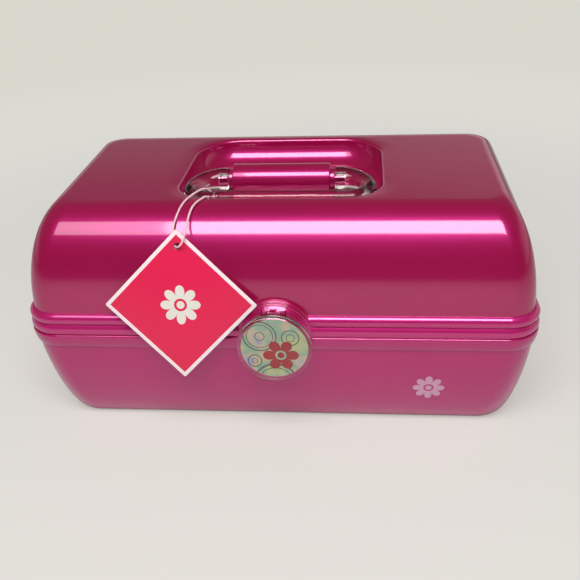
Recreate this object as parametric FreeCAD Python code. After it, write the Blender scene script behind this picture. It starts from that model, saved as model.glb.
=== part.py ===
import FreeCAD, Part
import math
import os

from FreeCAD import Vector

# Makeup storage case with a fold-down handle: two moulded shells joined by a rear hinge, a rocking
# clasp on the front, two trays that swing out with the lid, and a hang tag on an elastic string.
# Millimetres. X runs along the case, -Y is the front, +Z is up, and the origin is the middle of the
# case at the surface that it stands on.

# ---------------------------------------------------------------- shells
case_width = 340.0
case_depth = 207.0
base_height = 77.5
lid_height = 79.5
shell_wall = 2.5
parting_gap = 0.4
rim_corner = 23.0
rim_lip_height = 3.0
rim_lip_wall = 1.2
rim_lip_gap = 0.6
rim_ledge_drop = 2.0
rim_ledge_height = 3.5
profile_steps = 8

base_wall_inset = 2.9
base_band_height = 9.4
base_end_curve = 11.5
base_front_curve = 20.0
base_end_power = 1.3
base_front_power = 1.6
base_foot_corner = 22.0

lid_wall_inset = 3.7
lid_bead_height = 7.1
lid_straight_height = 8.7
lid_end_curve = 23.0
lid_front_curve = 37.6
lid_end_power = 1.95
lid_front_power = 2.2
lid_top_corner = 14.0

# ---------------------------------------------------------------- rear hinge
hinge_reach = 11.5
hinge_knuckle_radius = 5.5
hinge_pin_radius = 1.6
hinge_span = 184.0
hinge_middle_width = 16.0
hinge_outer_width = 16.0
hinge_side_gap = 0.3
hinge_rise = 0.5
hinge_web_clearance = 0.8

# ---------------------------------------------------------------- handle recess and barrel
recess_width = 139.6
recess_front = 60.0
recess_back = 60.0
recess_depth = 18.0
recess_front_corner = 28.0
recess_back_corner = 33.0
recess_cove = 16.0
recess_lip = 1.2
barrel_radius = 10.8
barrel_length = 67.0
barrel_from_middle = 19.0
barrel_rise = 8.0
barrel_post_width = 15.0
barrel_post_set_in = 2.0
barrel_edge = 0.9
collar_radius = 7.4
collar_width = 2.8
screw_radius = 1.5
screw_head_radius = 2.9
screw_head_height = 1.8
screw_length = 12.0
barrel_screw_spacing = 40.0

# ---------------------------------------------------------------- clear bail
bail_hub_radius = 8.2
bail_arm_radius = 5.2
bail_bar_radius = 4.4
bail_width = 130.0
bail_front_gap = 2.4
bail_rear_bend = 19.0
bail_front_bend = 15.0
bail_bend_step = 15
bail_grip_length = 78.0
bail_grip_radius = 4.8
handle_pin_radius = 3.0
handle_pin_grip = 7.0
running_gap = 0.05
side_gap = 0.6

# ---------------------------------------------------------------- clasp
clasp_radius = 24.1
clasp_reach = 11.5
clasp_drop = 2.0
lens_thickness = 4.4
lens_edge = 1.3
lens_rim_width = 2.6
print_thickness = 0.8
clasp_plate_thickness = 2.4
clasp_pivot_above = 21.0
clasp_pivot_from_plate = 4.0
clasp_eye_radius = 2.6
clasp_eye_width = 8.0
clasp_ear_width = 3.0
clasp_pin_radius = 1.2
housing_gap = 0.6
housing_over = 0.7
housing_rise = 4.0
housing_step = 1.0
housing_step_depth = 2.0
housing_chamfer = 2.6
housing_land = 0.4
housing_floor = 2.3
housing_back_off = 0.9
catch_width = 16.0
catch_drop = 11.5
catch_height = 4.0
catch_reach = 2.7
hook_gap = 0.3
hook_height = 3.5

# ---------------------------------------------------------------- trays and linkage
tray_wall = 1.8
tray_floor = 2.0
tray_corner = 10.0
lower_tray_height = 24.0
upper_tray_height = 23.0
lower_tray_top_gap = 3.5
upper_tray_rise = 1.5
tray_end_gap = 21.5
lower_tray_front_gap = 17.5
lower_tray_back_gap = 15.5
upper_tray_front_gap = 19.5
upper_tray_back_gap = 44.5
tray_boss_radius = 4.5
tray_boss_depth = 4.0
tray_rib_share = 0.8
lower_link_back = 45.5
lower_link_rise = -12.0
upper_link_back = 75.5
upper_link_rise = 14.0
lower_pivot_y = -5.0
upper_pivot_y = 30.0
arm_pivot_drop = 7.5
arm_half_width = 3.5
arm_eye_radius = 4.5
arm_thickness = 2.4
link_pin_radius = 1.75
pin_head_radius = 3.1
pin_head_height = 0.8
arm_pin_grip = 7.0
inner_arm_gap = 1.3
layer_gap = 1.2
open_pivot_gap = 0.25
bracket_thickness = 2.5
bracket_boss_radius = 4.6
bracket_screw_length = 5.5
bracket_front_screw_forward = 9.0
bracket_front_screw_rise = 14.0
bracket_rear_screw_back = 13.0
bracket_rear_screw_rise = 8.0

# ---------------------------------------------------------------- mirror
mirror_width = 236.0
mirror_depth = 112.0
mirror_thickness = 3.0
mirror_frame_border = 8.0
mirror_frame_height = 7.0
mirror_frame_lip = 1.6
mirror_frame_lap = 2.5
mirror_corner = 14.0
mirror_drop = 5.5
mirror_boss_radius = 4.2
mirror_screw_inset = 7.5

# ---------------------------------------------------------------- hang tag and string
tag_side = 69.7
tag_thickness = 0.6
tag_lean = 12.6
tag_centre = Vector(-59.4, -104.9, 102.75)
tag_hole_radius = 2.2
tag_hole_from_corner = 10.9
string_diameter = 1.3
knot_centre = Vector(-62.6, -91.4, 140.1)
knot_radius = 1.9

# ---------------------------------------------------------------- values that follow
half_width = case_width / 2
half_depth = case_depth / 2
lid_bottom = base_height + parting_gap
lid_top = base_height + lid_height
lid_curve_start = base_height + lid_straight_height
band_bottom = base_height - base_band_height
hinge_y = half_depth + hinge_reach - hinge_knuckle_radius
hinge_z = base_height + hinge_rise
recess_floor = lid_top - recess_depth
recess_outer_floor = recess_floor - shell_wall
barrel_y = -barrel_from_middle
barrel_z = lid_top + barrel_rise - barrel_radius
bail_front_y = -(recess_front - bail_front_gap - bail_bar_radius)
bail_side_x = bail_width / 2 - bail_arm_radius
hub_inner_x = barrel_length / 2 + collar_width + side_gap
clasp_z = base_height - clasp_drop
clasp_front_y = -(half_depth + clasp_reach)
plate_front_y = clasp_front_y + lens_thickness
plate_back_y = plate_front_y + clasp_plate_thickness
clasp_pivot_y = plate_back_y + clasp_pivot_from_plate
clasp_pivot_z = clasp_z + clasp_pivot_above
housing_back_y = -(half_depth - housing_floor)
housing_front_y = plate_back_y + housing_back_off
housing_root_y = -(half_depth - lid_wall_inset - shell_wall * 0.8)
housing_z = clasp_z + housing_rise
catch_top_z = base_height - catch_drop
lower_tray_top = base_height - lower_tray_top_gap
lower_tray_floor_z = lower_tray_top - lower_tray_height
upper_tray_floor_z = base_height + upper_tray_rise
upper_tray_top = upper_tray_floor_z + upper_tray_height
tray_half_length = half_width - tray_end_gap
lower_tray_front = half_depth - lower_tray_front_gap
lower_tray_back = half_depth - lower_tray_back_gap
upper_tray_front = half_depth - upper_tray_front_gap
upper_tray_back = half_depth - upper_tray_back_gap
arm_pivot_z = base_height - arm_pivot_drop
inner_arm_x = tray_half_length + inner_arm_gap
outer_arm_x = inner_arm_x + arm_thickness + layer_gap
bracket_x = outer_arm_x + arm_thickness + layer_gap
lower_rear_pin = (hinge_y - lower_link_back, hinge_z + lower_link_rise)
upper_rear_pin = (hinge_y - upper_link_back, hinge_z + upper_link_rise)
lower_front_pin = (lower_pivot_y - lower_link_back, arm_pivot_z + lower_link_rise)
upper_front_pin = (upper_pivot_y - upper_link_back, arm_pivot_z + upper_link_rise)
mirror_top_z = recess_outer_floor - mirror_drop
mirror_frame_bottom = mirror_top_z - mirror_frame_height
mirror_y = (recess_back - recess_front) / 2


# ---------------------------------------------------------------- basic forms
def box(x0, x1, y0, y1, z0, z1):
    return Part.makeBox(x1 - x0, y1 - y0, z1 - z0, Vector(x0, y0, z0))


def rod(radius, start, end):
    axis = end - start
    return Part.makeCylinder(radius, axis.Length, start, axis)


def rod_x(radius, x0, x1, y, z):
    return rod(radius, Vector(x0, y, z), Vector(x1, y, z))


def rod_y(radius, y0, y1, x, z):
    return rod(radius, Vector(x, y0, z), Vector(x, y1, z))


def fused(shapes):
    first, rest = shapes[0], shapes[1:]
    return first.multiFuse(rest).removeSplitter() if rest else first


def together(shapes):
    return Part.makeCompound(shapes)


def mirrored(shape):
    return shape.mirror(Vector(0, 0, 0), Vector(1, 0, 0))


def outline(x0, x1, y0, y1, z, front_corner, back_corner=None):
    """A rectangle with round corners, as a wire of four lines and four arcs."""
    back = front_corner if back_corner is None else back_corner
    corners = [
        (x1 - front_corner, y0 + front_corner, front_corner, -90),
        (x1 - back, y1 - back, back, 0),
        (x0 + back, y1 - back, back, 90),
        (x0 + front_corner, y0 + front_corner, front_corner, 180),
    ]
    arcs = []
    for cx, cy, radius, start in corners:
        points = []
        for degrees in (start, start + 45, start + 90):
            turn = math.radians(degrees)
            points.append(Vector(cx + radius * math.cos(turn), cy + radius * math.sin(turn), z))
        arcs.append(Part.Arc(*points))
    edges = []
    for arc, after in zip(arcs, arcs[1:] + arcs[:1]):
        edges.append(arc.toShape())
        edges.append(Part.makeLine(arc.EndPoint, after.StartPoint))
    return Part.Wire(edges)


def slab(x0, x1, y0, y1, z0, z1, front_corner, back_corner=None):
    """A flat-topped block with round vertical corners."""
    face = Part.Face(outline(x0, x1, y0, y1, z0, front_corner, back_corner))
    return face.extrude(Vector(0, 0, z1 - z0))


def polar(radius, degrees):
    turn = math.radians(degrees)
    return radius * math.cos(turn), radius * math.sin(turn)


# ---------------------------------------------------------------- moulded shells
def curved_bulk(start_z, rise, half_x, half_y, corner, curves, powers, end_corner):
    """A block whose four walls curve inwards from start_z to a flat end face at start_z + rise."""
    wires = []
    for step in range(profile_steps + 1):
        share = math.sin(math.radians(90.0 * step / profile_steps))
        inset = []
        for curve, power in zip(curves, powers):
            left = max(0.0, 1.0 - share**power)
            inset.append(curve * (1.0 - left ** (1.0 / power)))
        radius = corner + (end_corner - corner) * share
        x, y = half_x - inset[0], half_y - inset[1]
        wires.append(outline(-x, x, -y, y, start_z + rise * share, radius))
    return Part.makeLoft(wires, True, False)


def shell_bulk(start_z, straight_z, end_z, inset, curves, powers, end_corner, wall=0.0):
    """One shell as a solid block. With a wall, the room that the shell leaves inside."""
    half_x = half_width - inset - wall
    half_y = half_depth - inset - wall
    corner = rim_corner - inset - wall
    towards = 1 if end_z > straight_z else -1
    bulk = curved_bulk(
        straight_z,
        end_z - towards * wall - straight_z,
        half_x,
        half_y,
        corner,
        [curve - wall for curve in curves],
        powers,
        max(end_corner - wall, 1.0),
    )
    low, high = sorted((start_z, straight_z))
    return fused([bulk, slab(-half_x, half_x, -half_y, half_y, low, high, corner)])


def lid_bulk(wall=0.0, start_z=None):
    start = lid_bottom if start_z is None else start_z
    curves = [lid_end_curve, lid_front_curve]
    powers = [lid_end_power, lid_front_power]
    straight, inset, corner = lid_curve_start, lid_wall_inset, lid_top_corner
    return shell_bulk(start, straight, lid_top, inset, curves, powers, corner, wall)


def base_bulk(wall=0.0, start_z=None):
    start = base_height if start_z is None else start_z
    curves = [base_end_curve, base_front_curve]
    powers = [base_end_power, base_front_power]
    straight, inset, corner = band_bottom, base_wall_inset, base_foot_corner
    return shell_bulk(start, straight, 0.0, inset, curves, powers, corner, wall)


def rim_ring(profile):
    """A closed profile of (outwards, height) edges carried once round the rim, outwards from its edge."""

    def placed(x, y, degrees):
        across = Vector(*polar(1.0, degrees), 0)
        edges = []
        for points in profile:
            spots = [Vector(x, y, z) + across * out for out, z in points]
            if len(spots) == 3:
                edges.append(Part.Arc(*spots).toShape())
            else:
                edges.append(Part.makeLine(*spots))
        return Part.Face(Part.Wire(edges))

    straight_x = half_width - rim_corner
    straight_y = half_depth - rim_corner
    pieces = []
    for sign_x, sign_y, degrees in ((1, -1, -90), (1, 1, 0), (-1, 1, 90), (-1, -1, 180)):
        centre = Vector(sign_x * straight_x, sign_y * straight_y, 0)
        edge = centre + Vector(*polar(rim_corner, degrees), 0)
        face = placed(edge.x, edge.y, degrees)
        pieces.append(face.revolve(centre, Vector(0, 0, 1), 90))
        length = 2 * (straight_x if degrees in (-90, 90) else straight_y)
        back = Vector(*polar(-length, degrees + 90), 0)
        pieces.append(face.extrude(back))
    return fused(pieces)


def lid_beads():
    low = lid_bottom
    middle = low + lid_bead_height
    high = middle + lid_bead_height
    root = -(lid_wall_inset + shell_wall / 2)
    profile = [
        [(root, low), (-0.9, low)],
        [(-0.9, low), (0.0, (low + middle) / 2), (-1.3, middle - 0.2)],
        [(-1.3, middle - 0.2), (-1.7, middle), (-1.5, middle + 0.2)],
        [(-1.5, middle + 0.2), (-0.3, (middle + high) / 2), (-1.9, high - 0.4)],
        [(-1.9, high - 0.4), (-2.6, high + 0.1), (-lid_wall_inset, high + 0.5)],
        [(-lid_wall_inset, high + 0.5), (root, high + 0.5)],
        [(root, high + 0.5), (root, low)],
    ]
    return rim_ring(profile)


def base_band():
    top, low = base_height, band_bottom
    root = -(base_wall_inset + shell_wall / 2)
    profile = [
        [(root, top), (-1.0, top)],
        [(-1.0, top), (-0.3, top - 0.3), (0.0, top - 1.0)],
        [(0.0, top - 1.0), (-0.25, (top + low) / 2), (-1.4, low + 0.7)],
        [(-1.4, low + 0.7), (-1.7, low + 0.2), (-2.2, low)],
        [(-2.2, low), (root, low)],
        [(root, low), (root, top)],
    ]
    return rim_ring(profile)


def hinge_centres():
    return (-hinge_span / 2, hinge_span / 2)


def hinge_knuckles(spans, rim_side):
    """Knuckles with a web to the rim. rim_side is 1 above the hinge line, for the lid, and -1 below it."""
    far, near = hinge_knuckle_radius, hinge_web_clearance
    web_low, web_high = sorted((hinge_z + rim_side * far, hinge_z + rim_side * near))
    pieces = []
    for x0, x1 in spans:
        pieces.append(rod_x(hinge_knuckle_radius, x0, x1, hinge_y, hinge_z))
        pieces.append(box(x0, x1, half_depth - lid_wall_inset, hinge_y, web_low, web_high))
    return pieces


def lid_knuckle_spans():
    half = hinge_middle_width / 2
    return [(c - half, c + half) for c in hinge_centres()]


def base_knuckle_spans():
    start = hinge_middle_width / 2 + hinge_side_gap
    end = start + hinge_outer_width
    spans = []
    for c in hinge_centres():
        spans += [(c - end, c - start), (c + start, c + end)]
    return spans


def hinge_bores(radius):
    reach = hinge_middle_width / 2 + hinge_side_gap + hinge_outer_width
    return [rod_x(radius, c - reach - 1, c + reach + 1, hinge_y, hinge_z) for c in hinge_centres()]


def recess_outline(grow, z):
    half = recess_width / 2 + grow
    front, back = -recess_front - grow, recess_back + grow
    return outline(-half, half, front, back, z, recess_front_corner + grow, recess_back_corner + grow)


def recess_block(grow, top_z):
    """The handle recess as a solid: straight walls that sweep into a flat floor through a wide cove."""
    floor_z = recess_floor - grow
    block = Part.Face(recess_outline(grow, floor_z)).extrude(Vector(0, 0, top_z - floor_z))
    floor_edges = [e for e in block.Edges if abs(e.BoundBox.ZMax - floor_z) < 1e-6]
    return block.makeFillet(min(recess_cove, recess_depth - 1.0) + grow, floor_edges)


def recess_flare():
    """What the rounded lip of the recess takes off the lid's flat top, as two pieces to be cut in turn."""
    wires = []
    for step in range(5):
        turn = math.radians(90.0 * step / 4)
        grow = recess_lip * (1 - math.cos(turn))
        wires.append(recess_outline(grow, lid_top - recess_lip * (1 - math.sin(turn))))
    flare = Part.makeLoft(wires, True, False)
    above = Part.Face(recess_outline(recess_lip, lid_top)).extrude(Vector(0, 0, 2))
    return [flare, above]


def housing_radius(step):
    """A step's radius, where step 0 is the one furthest forward and step 2 meets the lid."""
    return clasp_radius + housing_over - housing_step * (2 - step)


def clasp_housing():
    """The stepped half disc on the lid behind the clasp's upper half, with a pocket for its pin."""
    rings = [rod_y(housing_radius(0), housing_front_y, housing_root_y, 0, housing_z)]
    front_edge = [e for e in rings[0].Edges if abs(e.BoundBox.YMax - housing_front_y) < 1e-6]
    rings[0] = rings[0].makeChamfer(housing_chamfer, front_edge)
    for step in (1, 2):
        front = housing_front_y + housing_chamfer + housing_land + housing_step_depth * (step - 1)
        rings.append(rod_y(housing_radius(step), front, housing_root_y, 0, housing_z))
    reach = clasp_radius * 2
    upper = box(-reach, reach, clasp_front_y, 0, lid_bottom, lid_top)
    return fused(rings).common(upper).cut(clasp_pocket())


def clasp_pocket():
    """The room in the housing that the clasp's eye turns in."""
    side = clasp_pin_reach() + housing_gap
    top = clasp_pivot_z + clasp_eye_radius + housing_gap
    return box(-side, side, clasp_front_y, housing_back_y, 0, top)


def clasp_eye(x0, x1, reach_y):
    """A round eye on the clasp's pin, with a web to reach_y."""
    low, high = sorted((clasp_pivot_y, reach_y))
    eye = rod_x(clasp_eye_radius, x0, x1, clasp_pivot_y, clasp_pivot_z)
    web = box(x0, x1, low, high, clasp_pivot_z - clasp_eye_radius, clasp_pivot_z + clasp_eye_radius / 4)
    return [eye, web]


def clasp_ears():
    start = clasp_eye_width / 2 + hinge_side_gap
    end = start + clasp_ear_width
    back = housing_back_y + shell_wall / 2
    return clasp_eye(-end, -start, back) + clasp_eye(start, end, back)


def clasp_pin_reach():
    return clasp_eye_width / 2 + hinge_side_gap + clasp_ear_width


def clasp_bore():
    reach = clasp_pin_reach()
    return rod_x(clasp_pin_radius + running_gap, -reach, reach, clasp_pivot_y, clasp_pivot_z)


def mirror_screw_spots():
    x = mirror_width / 2 + mirror_frame_border - mirror_screw_inset
    y = mirror_depth / 2 + mirror_frame_border - mirror_screw_inset
    return [(sx * x, mirror_y + sy * y) for sx in (-1, 1) for sy in (-1, 1)]


def barrel_screw_spots():
    return [(-barrel_screw_spacing / 2, barrel_y), (barrel_screw_spacing / 2, barrel_y)]


def bracket_screw_spots():
    """Where each tray bracket is screwed to the lid's end wall, as (y, z)."""
    y, z = (lower_rear_pin[0] + upper_rear_pin[0]) / 2, upper_rear_pin[1]
    front = (y - bracket_front_screw_forward, z + bracket_front_screw_rise)
    rear = (y + bracket_rear_screw_back, z + bracket_rear_screw_rise)
    return [front, rear]


def bracket_bosses():
    """Bosses on the lid's end walls that the tray brackets are screwed to."""
    bosses = []
    for y, z in bracket_screw_spots():
        boss = rod_x(bracket_boss_radius, bracket_x + bracket_thickness, half_width, y, z)
        boss = boss.common(lid_bulk(shell_wall / 2))
        bosses += [boss, mirrored(boss)]
    return bosses


def lid_shell():
    skin = lid_bulk().cut(recess_block(0.0, lid_top + 5.0))
    for piece in recess_flare():
        skin = skin.cut(piece)
    room = lid_bulk(shell_wall, lid_bottom - 1.0).cut(recess_block(shell_wall, lid_top + 5.0))
    shell = skin.fuse(lid_beads()).cut(room)
    notch = rod_y(housing_radius(2), clasp_front_y, housing_back_y, 0, housing_z)
    shell = shell.cut(notch)
    added = [clasp_housing()] + clasp_ears() + bracket_bosses()
    added += hinge_knuckles(lid_knuckle_spans(), 1)
    for x, y in mirror_screw_spots():
        boss_top = Vector(x, y, lid_top - shell_wall / 2)
        added.append(rod(mirror_boss_radius, Vector(x, y, mirror_top_z), boss_top))
    shell = shell.multiFuse(added)
    holes = hinge_bores(hinge_pin_radius + running_gap) + [clasp_bore()]
    for x, y in mirror_screw_spots():
        top = mirror_top_z + screw_length
        holes.append(rod(screw_radius, Vector(x, y, mirror_top_z - 1), Vector(x, y, top)))
    for side in (-1, 1):
        start = side * (bracket_x + bracket_thickness)
        end = side * (bracket_x + bracket_screw_length)
        holes += [rod_x(screw_radius, start, end, y, z) for y, z in bracket_screw_spots()]
    for x, y in barrel_screw_spots():
        low, high = Vector(x, y, recess_outer_floor - 1), Vector(x, y, recess_floor + 1)
        holes.append(rod(screw_radius + running_gap, low, high))
    return shell.cut(together(holes))


def rim_slab(inset, z0, z1):
    x, y = half_width - inset, half_depth - inset
    return slab(-x, x, -y, y, z0, z1, rim_corner - inset)


def base_lip():
    """A lip that keeps the lid in line, on a ledge inside the base's wall."""
    lip_out = lid_wall_inset + shell_wall + rim_lip_gap
    lip_in = lip_out + rim_lip_wall
    ledge_top = base_height - rim_ledge_drop
    ledge_foot = ledge_top - rim_ledge_height
    lip_top = base_height + rim_lip_height
    body = rim_slab(base_wall_inset + shell_wall / 2, ledge_foot, ledge_top)
    body = body.fuse(rim_slab(lip_out, ledge_foot, lip_top))
    return body.cut(rim_slab(lip_in, ledge_foot - 1, lip_top + 1))


def clasp_catch():
    """The ledge on the base's front that the clasp's hook holds."""
    front = -(half_depth + catch_reach)
    back = -(half_depth - base_wall_inset - shell_wall / 2)
    half = catch_width / 2
    return box(-half, half, front, back, catch_top_z - catch_height, catch_top_z)


def base_shell():
    room = base_bulk(shell_wall, base_height + 1.0)
    shell = base_bulk().fuse(base_band()).cut(room)
    added = [base_lip(), clasp_catch()] + hinge_knuckles(base_knuckle_spans(), -1)
    for side in (-1, 1):
        for pivot_y, arm_x in ((lower_pivot_y, outer_arm_x), (upper_pivot_y, inner_arm_x)):
            start = side * (arm_x + arm_thickness + side_gap / 2)
            end = side * (half_width - base_wall_inset - shell_wall / 2)
            added.append(rod_x(tray_boss_radius, start, end, pivot_y, arm_pivot_z))
    shell = shell.multiFuse(added)
    holes = hinge_bores(hinge_pin_radius + running_gap)
    for side in (-1, 1):
        for pivot_y, arm_x in ((lower_pivot_y, outer_arm_x), (upper_pivot_y, inner_arm_x)):
            start, end = side * arm_x, side * (half_width - base_wall_inset - shell_wall)
            holes.append(rod_x(link_pin_radius + running_gap, start, end, pivot_y, arm_pivot_z))
    return shell.cut(together(holes))


# ---------------------------------------------------------------- hinge pins
def hinge_pins():
    reach = hinge_middle_width / 2 + hinge_side_gap + hinge_outer_width
    pins = []
    for c in hinge_centres():
        pins.append(rod_x(hinge_pin_radius, c - reach, c + reach, hinge_y, hinge_z))
    return together(pins)


# ---------------------------------------------------------------- handle
def handle_barrel():
    half = barrel_length / 2
    drum = rod_x(barrel_radius, -half, half, barrel_y, barrel_z)
    drum = drum.makeFillet(barrel_edge, [e for e in drum.Edges if e.BoundBox.XLength < 1e-6])
    post_half = barrel_post_width / 2
    post_x = half - barrel_post_set_in
    post = box(-post_x, post_x, barrel_y - post_half, barrel_y + post_half, recess_floor, barrel_z)
    collar = rod_x(collar_radius, -half - collar_width, half + collar_width, barrel_y, barrel_z)
    body = fused([drum, post, collar])
    bores = []
    for side in (-1, 1):
        inner, outer = side * (half - handle_pin_grip), side * (half + collar_width + 1)
        bores.append(rod_x(handle_pin_radius + running_gap, inner, outer, barrel_y, barrel_z))
    for x, y in barrel_screw_spots():
        low, high = Vector(x, y, recess_floor - 1), Vector(x, y, recess_floor + screw_length)
        bores.append(rod(screw_radius, low, high))
    return body.cut(together(bores))


def barrel_screws():
    screws = []
    for x, y in barrel_screw_spots():
        head_z = recess_outer_floor - screw_head_height
        shank = rod(screw_radius, Vector(x, y, head_z), Vector(x, y, head_z + screw_length))
        head = rod(screw_head_radius, Vector(x, y, head_z), Vector(x, y, recess_outer_floor))
        screws.append(fused([shank, head]))
    return Part.makeCompound(screws)


def handle_pins():
    pins = []
    for side in (-1, 1):
        start = side * (barrel_length / 2 - handle_pin_grip + side_gap)
        end = side * (hub_inner_x + handle_pin_grip)
        pins.append(rod_x(handle_pin_radius, start, end, barrel_y, barrel_z))
    return Part.makeCompound(pins)


def ring_wire(radius, centre, direction):
    return Part.Wire(Part.makeCircle(radius, centre, direction))


def bail_stations():
    """The right half of the bail as (x, y, heading in degrees, radius), from the grip round to the hub."""
    stations = [(0.0, bail_front_y, 0.0, bail_bar_radius)]
    front_x = bail_side_x - bail_front_bend
    front_y = bail_front_y + bail_front_bend
    rear_x = bail_side_x - bail_rear_bend
    rear_y = barrel_y - bail_rear_bend
    for degrees in range(0, 90, bail_bend_step):
        x, y = polar(bail_front_bend, degrees - 90)
        radius = bail_bar_radius + (bail_arm_radius - bail_bar_radius) * degrees / 90
        stations.append((front_x + x, front_y + y, degrees, radius))
    for degrees in range(0, 91, bail_bend_step):
        x, y = polar(bail_rear_bend, degrees)
        radius = bail_arm_radius + (bail_hub_radius - bail_arm_radius) * degrees / 90
        stations.append((rear_x + x, rear_y + y, 90 + degrees, radius))
    stations.append((hub_inner_x, barrel_y, 180.0, bail_hub_radius))
    return stations


def handle_bail():
    wires = []
    for x, y, heading, radius in bail_stations():
        ring = ring_wire(radius, Vector(0, 0, 0), Vector(1, 0, 0))
        ring.rotate(Vector(0, 0, 0), Vector(0, 0, 1), heading)
        ring.translate(Vector(x, y, barrel_z))
        wires.append(ring)
    half = Part.makeLoft(wires, True, True)
    grip_half = bail_grip_length / 2
    grip = rod_x(bail_grip_radius, -grip_half, grip_half, bail_front_y, barrel_z)
    ends = [e for e in grip.Edges if e.BoundBox.XLength < 1e-6]
    grip = grip.makeFillet(bail_grip_radius - bail_bar_radius, ends)
    bail = fused([half, mirrored(half), grip])
    bores = []
    for side in (-1, 1):
        end = side * (hub_inner_x + handle_pin_grip)
        bores.append(rod_x(handle_pin_radius, side * (hub_inner_x - 1), end, barrel_y, barrel_z))
    return bail.cut(together(bores))


# ---------------------------------------------------------------- clasp
def clasp_lever():
    plate = rod_y(clasp_radius - lens_rim_width, plate_front_y, plate_back_y, 0, clasp_z)
    hook_top = catch_top_z - catch_height - hook_gap
    hook = box(
        -catch_width / 2 + 1,
        catch_width / 2 - 1,
        plate_front_y + 0.5,
        -(half_depth + catch_reach + hook_gap),
        hook_top - hook_height,
        hook_top,
    )
    half = clasp_eye_width / 2
    eye = clasp_eye(-half, half, plate_back_y - clasp_plate_thickness / 2)
    return fused([plate, hook] + eye).cut(clasp_bore())


def clasp_pin():
    reach = clasp_pin_reach()
    return rod_x(clasp_pin_radius, -reach, reach, clasp_pivot_y, clasp_pivot_z)


def medallion_print():
    radius = clasp_radius - lens_rim_width
    return rod_y(radius, plate_front_y - print_thickness, plate_front_y, 0, clasp_z)


def medallion_lens():
    lens = rod_y(clasp_radius, clasp_front_y, plate_front_y, 0, clasp_z)
    front_edge = [e for e in lens.Edges if abs(e.BoundBox.YMax - clasp_front_y) < 1e-6]
    lens = lens.makeFillet(lens_edge, front_edge)
    radius = clasp_radius - lens_rim_width + running_gap
    seat = rod_y(radius, plate_front_y - print_thickness - running_gap, plate_front_y + 1, 0, clasp_z)
    return lens.cut(seat)


# ---------------------------------------------------------------- trays
def tray(front, back, floor_z, height, dividers, shelves, pins):
    """A tray with a rolled-over corner, dividers across it at X, shelves along it at Y, and pin bosses."""
    x = tray_half_length
    body = slab(-x, x, -front, back, floor_z, floor_z + height, tray_corner)
    inner = slab(
        -x + tray_wall,
        x - tray_wall,
        -front + tray_wall,
        back - tray_wall,
        floor_z + tray_floor,
        floor_z + height + 1,
        tray_corner - tray_wall,
    )
    body = body.cut(inner)
    rib_top = floor_z + height * tray_rib_share
    added = []
    for at in dividers:
        left, right = at - tray_wall / 2, at + tray_wall / 2
        added.append(box(left, right, -front + 1, back - 1, floor_z + 1, rib_top))
    for at, x0, x1 in shelves:
        added.append(box(x0, x1, at - tray_wall / 2, at + tray_wall / 2, floor_z + 1, rib_top))
    holes = []
    for y, z in pins:
        for side in (-1, 1):
            inner_x = side * (x - tray_boss_depth)
            added.append(rod_x(tray_boss_radius, inner_x, side * (x - tray_wall / 2), y, z))
            hole_end = side * (x - tray_boss_depth + 1.0)
            holes.append(rod_x(link_pin_radius + running_gap, hole_end, side * (x + 1), y, z))
    return body.multiFuse(added).cut(together(holes)).removeSplitter()


def lower_tray():
    third = tray_half_length / 3
    dividers = [-third, third]
    shelves = [(0.0, third, tray_half_length - 1)]
    pins = [lower_rear_pin, lower_front_pin]
    front, back, floor_z = lower_tray_front, lower_tray_back, lower_tray_floor_z
    return tray(front, back, floor_z, lower_tray_height, dividers, shelves, pins)


def upper_tray():
    half = tray_half_length / 2
    dividers = [-half, 0.0, half]
    middle = (upper_tray_back - upper_tray_front) / 2
    shelves = [(middle, -tray_half_length + 1, -half), (middle, half, tray_half_length - 1)]
    pins = [upper_rear_pin, upper_front_pin]
    front, back, floor_z = upper_tray_front, upper_tray_back, upper_tray_floor_z
    return tray(front, back, floor_z, upper_tray_height, dividers, shelves, pins)


def swing_arm(pivot_y, front_pin, arm_x):
    """A right-hand arm from its pivot on the base to its tray's front pin."""
    start = Vector(arm_x, pivot_y, arm_pivot_z)
    end = Vector(arm_x, *front_pin)
    along = (end - start).normalize()
    across = Vector(0, -along.z, along.y) * arm_half_width
    corners = [start + across, end + across, end - across, start - across, start + across]
    bar = Part.Face(Part.makePolygon(corners)).extrude(Vector(arm_thickness, 0, 0))
    far_x = arm_x + arm_thickness
    eyes = [rod_x(arm_eye_radius, arm_x, far_x, spot.y, spot.z) for spot in (start, end)]
    holes = [
        rod_x(link_pin_radius + running_gap, arm_x - 1, far_x + 1, start.y, start.z),
        rod_x(link_pin_radius + open_pivot_gap, arm_x - 1, far_x + 1, end.y, end.z),
    ]
    return fused([bar] + eyes).cut(together(holes))


def headed_pin(x0, x1, head_x, y, z):
    """A pin from x0 to x1 with a flat head at its x1 end, on the far side of head_x."""
    shank = rod_x(link_pin_radius, x0, x1, y, z)
    head = rod_x(pin_head_radius, head_x, x1, y, z)
    return fused([shank, head])


def both_sides(shapes):
    return Part.makeCompound(shapes + [mirrored(s) for s in shapes])


def arm_pivot_pins():
    pins = []
    for pivot_y, arm_x in ((lower_pivot_y, outer_arm_x), (upper_pivot_y, inner_arm_x)):
        head_x = arm_x - running_gap * 2
        end = head_x - pin_head_height
        start = arm_x + arm_thickness + arm_pin_grip
        pins.append(headed_pin(start, end, head_x, pivot_y, arm_pivot_z))
    return both_sides(pins)


def tray_front_pins(front_pin, arm_x):
    head_x = arm_x + arm_thickness + running_gap * 2
    start = tray_half_length - tray_boss_depth + 1.2
    return both_sides([headed_pin(start, head_x + pin_head_height, head_x, *front_pin)])


def tray_rear_pins():
    start = bracket_x + bracket_thickness
    end = tray_half_length - tray_boss_depth + 1.2
    pins = (lower_rear_pin, upper_rear_pin)
    return both_sides([rod_x(link_pin_radius, start, end, *pin) for pin in pins])


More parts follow.
